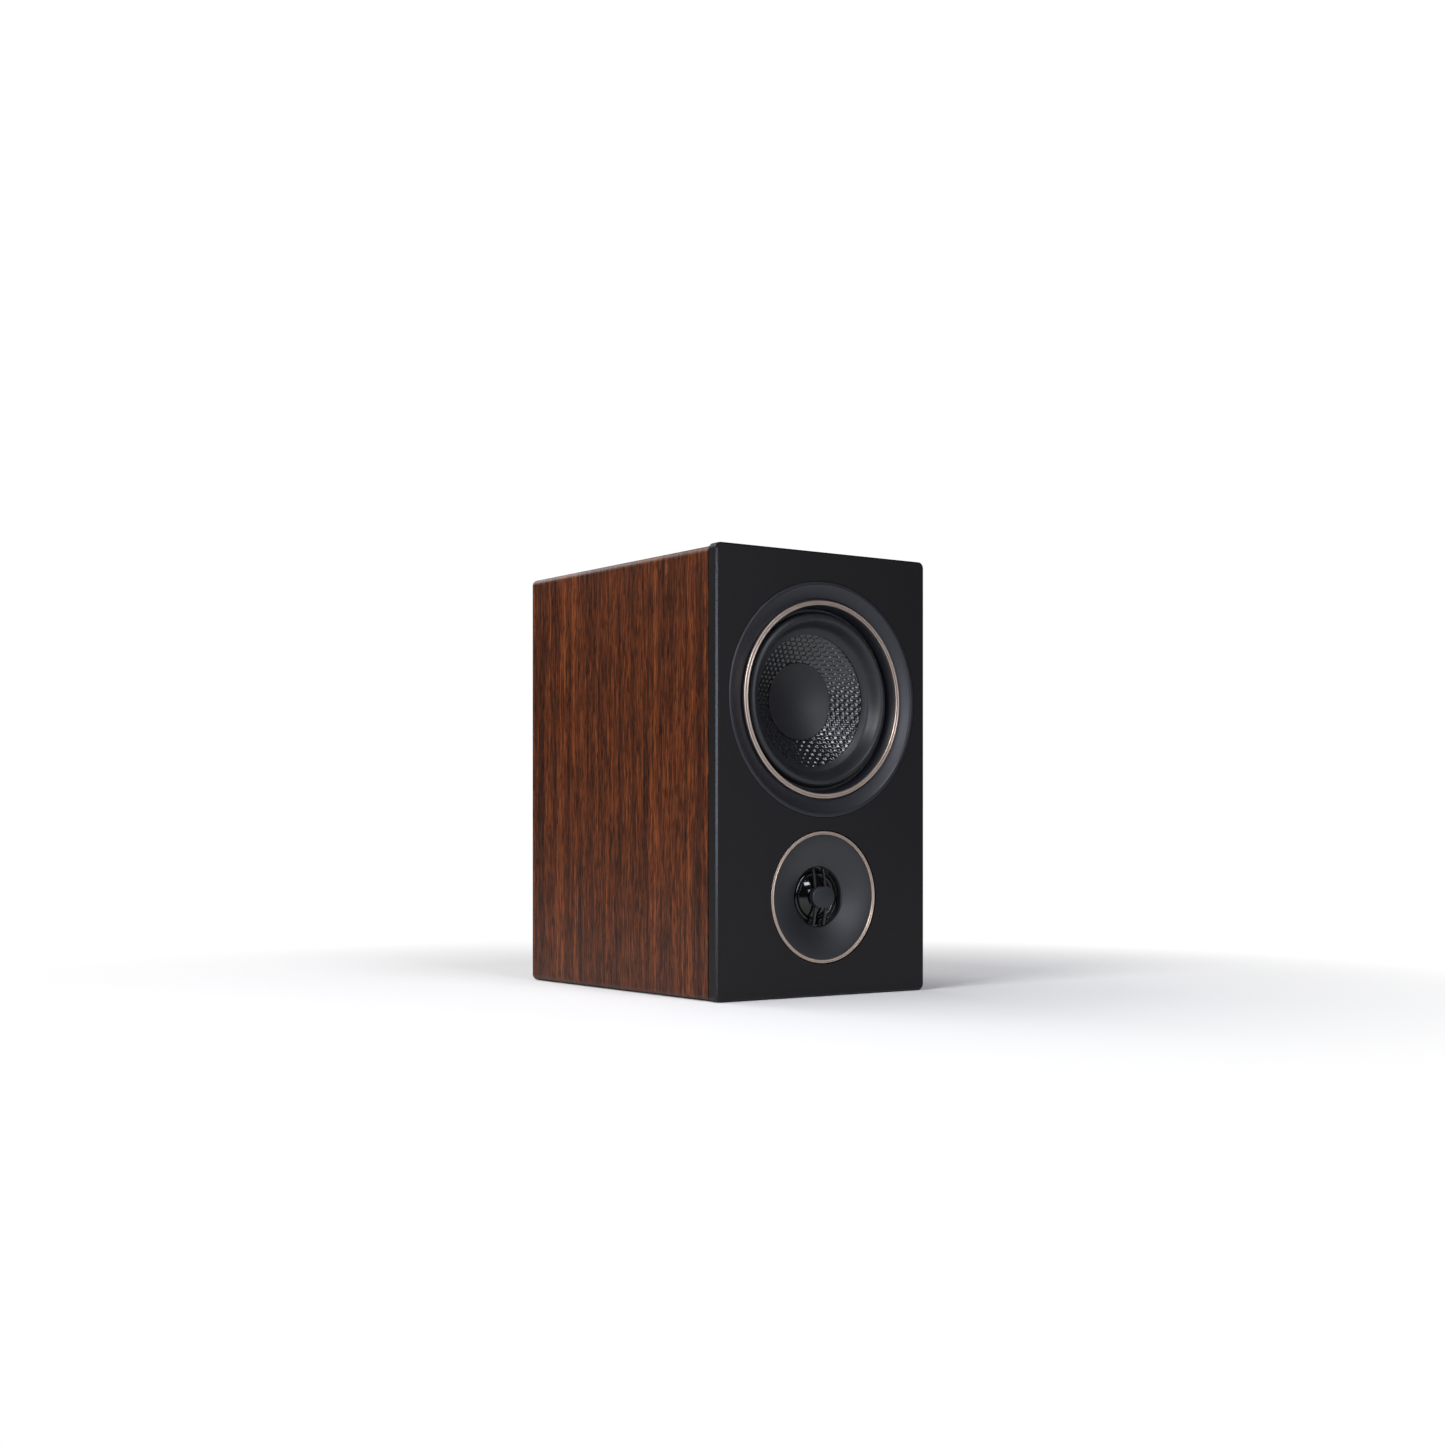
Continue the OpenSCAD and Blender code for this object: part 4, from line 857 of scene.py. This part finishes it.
# %% [markdown]
# The plate is moulded and painted. Its edge is well rounded, so it keeps a soft rim of light.

# %% Badge
bm = bmesh.new()
rim = oval(bm, *plate_size, front=0.3, back=3.1, centre=dish.z)
bmesh.ops.bevel(bm, geom=list(set(rim)), offset=0.35 * MM, segments=4, profile=0.5, affect="EDGES",
                material=-1)
finish_piece(blank("tweeter_badge_plate"), bm, badge_abs, "root", "slate_plastic", "tweeter_badge")

# %% [markdown]
# ## Port
#
# The port is a moulded tube whose mouth flares outwards on a round curve, so that the air leaves quietly.

# %% Port
bore_r, tube_r, flare_r = 15.0, 17.0, 7.0
mouth_d, flange, chamfer = port.back, 2, 0.5
port_section = [
    (bore_r, port.front), *round_arc(bore_r + flare_r, mouth_d - flare_r, flare_r, 180, 90, 20),
    (port.out - chamfer, mouth_d), (port.out, mouth_d - chamfer), (port.out, mouth_d - flange),
    (tube_r, mouth_d - flange), (tube_r, port.front),
]
finish_piece(blank("port_tube_moulding"), spin(port_section, port.z, 160), rear_abs,
             "root", "black_plastic", "port_tube")

# %% [markdown]
# ## Soft pieces
#
# Two things here are soft. A strip of foam seals the baffle to the box and fills the dark gap between them.
# Three pads of wadding are glued inside the walls to take up sound. The foam is the gasket's own outline
# with rounded edges.

# %% Gaskets


def copy_of(node):
    """A bmesh of a CAD node's own surface, its doubles merged and its flat faces made whole."""
    bm = bmesh.new()
    bm.from_mesh(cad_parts[node].data)
    bmesh.ops.remove_doubles(bm, verts=bm.verts, dist=0.005 * MM)
    bmesh.ops.dissolve_limit(bm, angle_limit=math.radians(2), verts=bm.verts, edges=bm.edges)
    return bm


for node, name, cut in (
        ("baffle_gasket", "baffle_gasket_foam", 0.5), ("woofer_gasket", "woofer_gasket_foam", 0.2)):
    bm = copy_of(node)
    corners = [e for e in bm.edges if len(e.link_faces) == 2 and e.calc_face_angle() > 1]
    bmesh.ops.bevel(bm, geom=corners, offset=cut * MM, segments=3, profile=0.5, affect="EDGES", material=-1)
    finish_piece(blank(name), bm, foam, "root", "black_foam", node)

# %% [markdown]
# Each pad starts as a block with many cuts. Its faces swell between the corners, and two sizes of noise
# leave the surface lumpy.

# %% Wadding


def wadding_pad(name, low, high, *nodes):
    """A pad between two corners, in metres, crowned on every face and lumpy."""
    size, middle = high - low, (low + high) / 2
    bm = bmesh.new()
    bmesh.ops.create_cube(bm, size=1.0)
    bmesh.ops.subdivide_edges(bm, edges=bm.edges, cuts=23, use_grid_fill=True)
    for v in bm.verts:
        spot = 2 * v.co
        # Each axis pulls in near the block's edges, which leaves the middle of each face proudest.
        pull = [1 - 0.11 * (spot[(a + 1) % 3] ** 8 + spot[(a + 2) % 3] ** 8) for a in range(3)]
        lump = 1 + 0.02 * noise.noise(v.co * 5) + 0.012 * noise.noise(v.co * 14)
        v.co = Vector(min(max(spot[a] * pull[a] * lump, -1), 1) * size[a] / 2 + middle[a] for a in range(3))
    bmesh.ops.smooth_vert(bm, verts=bm.verts, factor=0.5, use_axis_x=True, use_axis_y=True, use_axis_z=True)
    made = finish_piece(blank(name), bm, wadding, "root", "wadding", *nodes, smooth_below=180)


low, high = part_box("damping_pads")
thickness, apart, above_floor = 10 * MM, 3 * MM, 20 * MM
side_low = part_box("bottom_panel")[1].z + above_floor
wadding_pad("wadding_left", Vector((low.x, low.y, side_low)), Vector((low.x + thickness, high.y, high.z)),
            "damping_pads")
wadding_pad("wadding_right", Vector((high.x - thickness, low.y, side_low)), Vector(high), "damping_pads")
wadding_pad("wadding_top", Vector((low.x + thickness + apart, low.y, high.z - thickness)),
            Vector((high.x - thickness - apart, high.y, high.z)), "damping_pads")

# %% [markdown]
# ## Tinsel leads
#
# Two short flexible braids carry the current from the fixed terminals to the moving cone. Their upper ends
# stay with the basket and their lower ends go along with the cone. Here they are tied to no body, and their
# placement is only baked into the mesh.

# %% Tinsel leads
braids = finish_piece(
    blank("woofer_tinsel_braids"), copy_of("woofer_tinsel_leads"), braid, None, "tinsel_braid",
    "woofer_tinsel_leads")
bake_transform(braids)

# %% [markdown]
# ## The room
#
# The loudspeaker stands on a pale floor that fades into plain white, so only a soft shadow is left. The
# floor is white to the camera. To the object it is white close by and grey further out, so reflections fade
# up its sides and the blacks stay deep.

# %% Floor
low, high = cad_box
middle = (low + high) / 2
fade_from, fade_to = 0.2, 0.42
bright_to, grey_from = 0.3, 0.8
bm = bmesh.new()
bmesh.ops.create_circle(bm, cap_ends=True, segments=96, radius=3.0)
floor_piece = blank("floor")
bm.to_mesh(floor_piece.data)
bm.free()
floor_piece.location.z = low.z - 0.2 * MM
floor_paint, tree, shader, place = material("floor_paint", "#f2f2f2", 0.9)
centred = add(tree, "ShaderNodeVectorMath", {0: place}, operation="LENGTH").outputs["Value"]
far = add(tree, "ShaderNodeMapRange",
          {"Value": centred, "From Min": fade_from, "From Max": fade_to}).outputs[0]
by_eye = add(tree, "ShaderNodeLightPath").outputs["Is Camera Ray"]
near = add(tree, "ShaderNodeMapRange", {
    "Value": centred, "From Min": bright_to, "From Max": grey_from, "To Min": 1.0, "To Max": 0.0}).outputs[0]
white_part = add(tree, "ShaderNodeMath", {0: by_eye, 1: near}, operation="MAXIMUM").outputs[0]
add(tree, "ShaderNodeMix", {0: white_part, 6: linear("#a0a0a0"), 7: linear("#f2f2f2")},
    [(2, shader, "Base Color")], data_type="RGBA")
far = add(tree, "ShaderNodeMath", {0: far, 1: by_eye}, operation="MULTIPLY").outputs[0]
glow = add(tree, "ShaderNodeEmission", {"Color": linear("#ffffff"), "Strength": 1.0}).outputs[0]
mixed = add(tree, "ShaderNodeMixShader", {0: far, 1: shader.outputs[0], 2: glow}).outputs[0]
tree.links.new(mixed, tree.nodes["Material Output"].inputs["Surface"])
floor_piece.data.materials.append(floor_paint)
print("floor at", round(floor_piece.location.z / MM, 1), "mm")

# %% [markdown]
# The camera sees plain white behind the object. The object itself is lit by a very weak sky, because a
# bright one would veil all the black surfaces.

# %% Sky
world = bpy.data.worlds.new("studio")
bpy.context.scene.world = world
world.use_nodes = True
tree = world.node_tree
soft = tree.nodes["Background"]
soft.inputs["Color"].default_value = linear("#f4f6fa")
soft.inputs["Strength"].default_value = 0.04
white = add(tree, "ShaderNodeBackground", {"Color": linear("#ffffff"), "Strength": 1.0}).outputs[0]
seen = add(tree, "ShaderNodeLightPath").outputs["Is Camera Ray"]
sky = add(tree, "ShaderNodeMixShader", {0: seen, 1: soft.outputs[0], 2: white}).outputs[0]
tree.links.new(sky, tree.nodes["World Output"].inputs["Surface"])
print("sky strength", round(soft.inputs["Strength"].default_value, 3))

# %% [markdown]
# Six soft lights shape the object. The key stands at the upper left and lights the walnut side. A small one
# in front and above puts a sheen on the top of the black face, and a low one in front opens the dish of the
# bezel. A narrow strip at the far left draws the baffle's edge. A light behind catches the top's rounded
# edge, and one overhead lights the top.

# %% Lights


def softbox(name, at, width, height, power, tint="#ffffff"):
    """A rectangular light aimed at the middle of the object."""
    data = bpy.data.lights.new(name, "AREA")
    data.shape, data.size, data.size_y, data.energy = "RECTANGLE", width, height, power
    data.color = linear(tint)[:3]
    made = bpy.data.objects.new(name, data)
    bpy.context.scene.collection.objects.link(made)
    made.location = Vector(at)
    made.rotation_euler = (middle - made.location).to_track_quat("-Z", "Y").to_euler()


softbox("key_softbox", (-1.3, -0.4, 0.9), 0.6, 0.6, 15.0)
softbox("front_softbox", (-0.05, -1.15, 1.05), 0.45, 0.25, 6.0, "#f4f5ff")
softbox("low_softbox", (0.12, -1.3, 0.35), 0.4, 0.35, 4.2, "#eef1ff")
softbox("left_strip", (-1.0, -0.75, 0.12), 0.1, 0.5, 3.0, "#dfe8ff")
softbox("back_softbox", (-0.2, 1.3, 0.9), 1.0, 0.6, 7.0)
softbox("top_softbox", (-0.3, 0.2, 1.4), 0.9, 0.9, 8.0)

# %% [markdown]
# ## The camera
#
# The camera stands to the left of the front, about a metre away and a little below mid-height, and looks
# level, so the upright edges stay parallel. The lens is shifted up a little to put the object in the middle.

# %% Camera
to_left, before, above = 0.5853, 0.7325, 0.0803
turned = 35.666
lens_data = bpy.data.cameras.new("camera")
camera = bpy.data.objects.new("camera", lens_data)
bpy.context.scene.collection.objects.link(camera)
bpy.context.scene.camera = camera
lens_data.sensor_width = 36.0
lens_data.lens = 49.07
lens_data.shift_y = 0.0724
lens_data.clip_start, lens_data.clip_end = 0.05, 20.0
camera.location = (-to_left, face_y - before, above)
camera.rotation_euler = (math.pi / 2, 0.0, -math.radians(turned))
bpy.context.scene.view_settings.view_transform = "Standard"
print("camera", round((camera.location - middle).length, 2), "m from the middle of the object")

# %% [markdown]
# ## Sizes
#
# The last step prints the size of the CAD model's box. The finished object should have the same box,
# because every new piece takes its sizes from the part that it stands in for.

# %% Sizes, and the end
print("CAD box", [round(v, 4) for v in cad_box[1] - cad_box[0]])
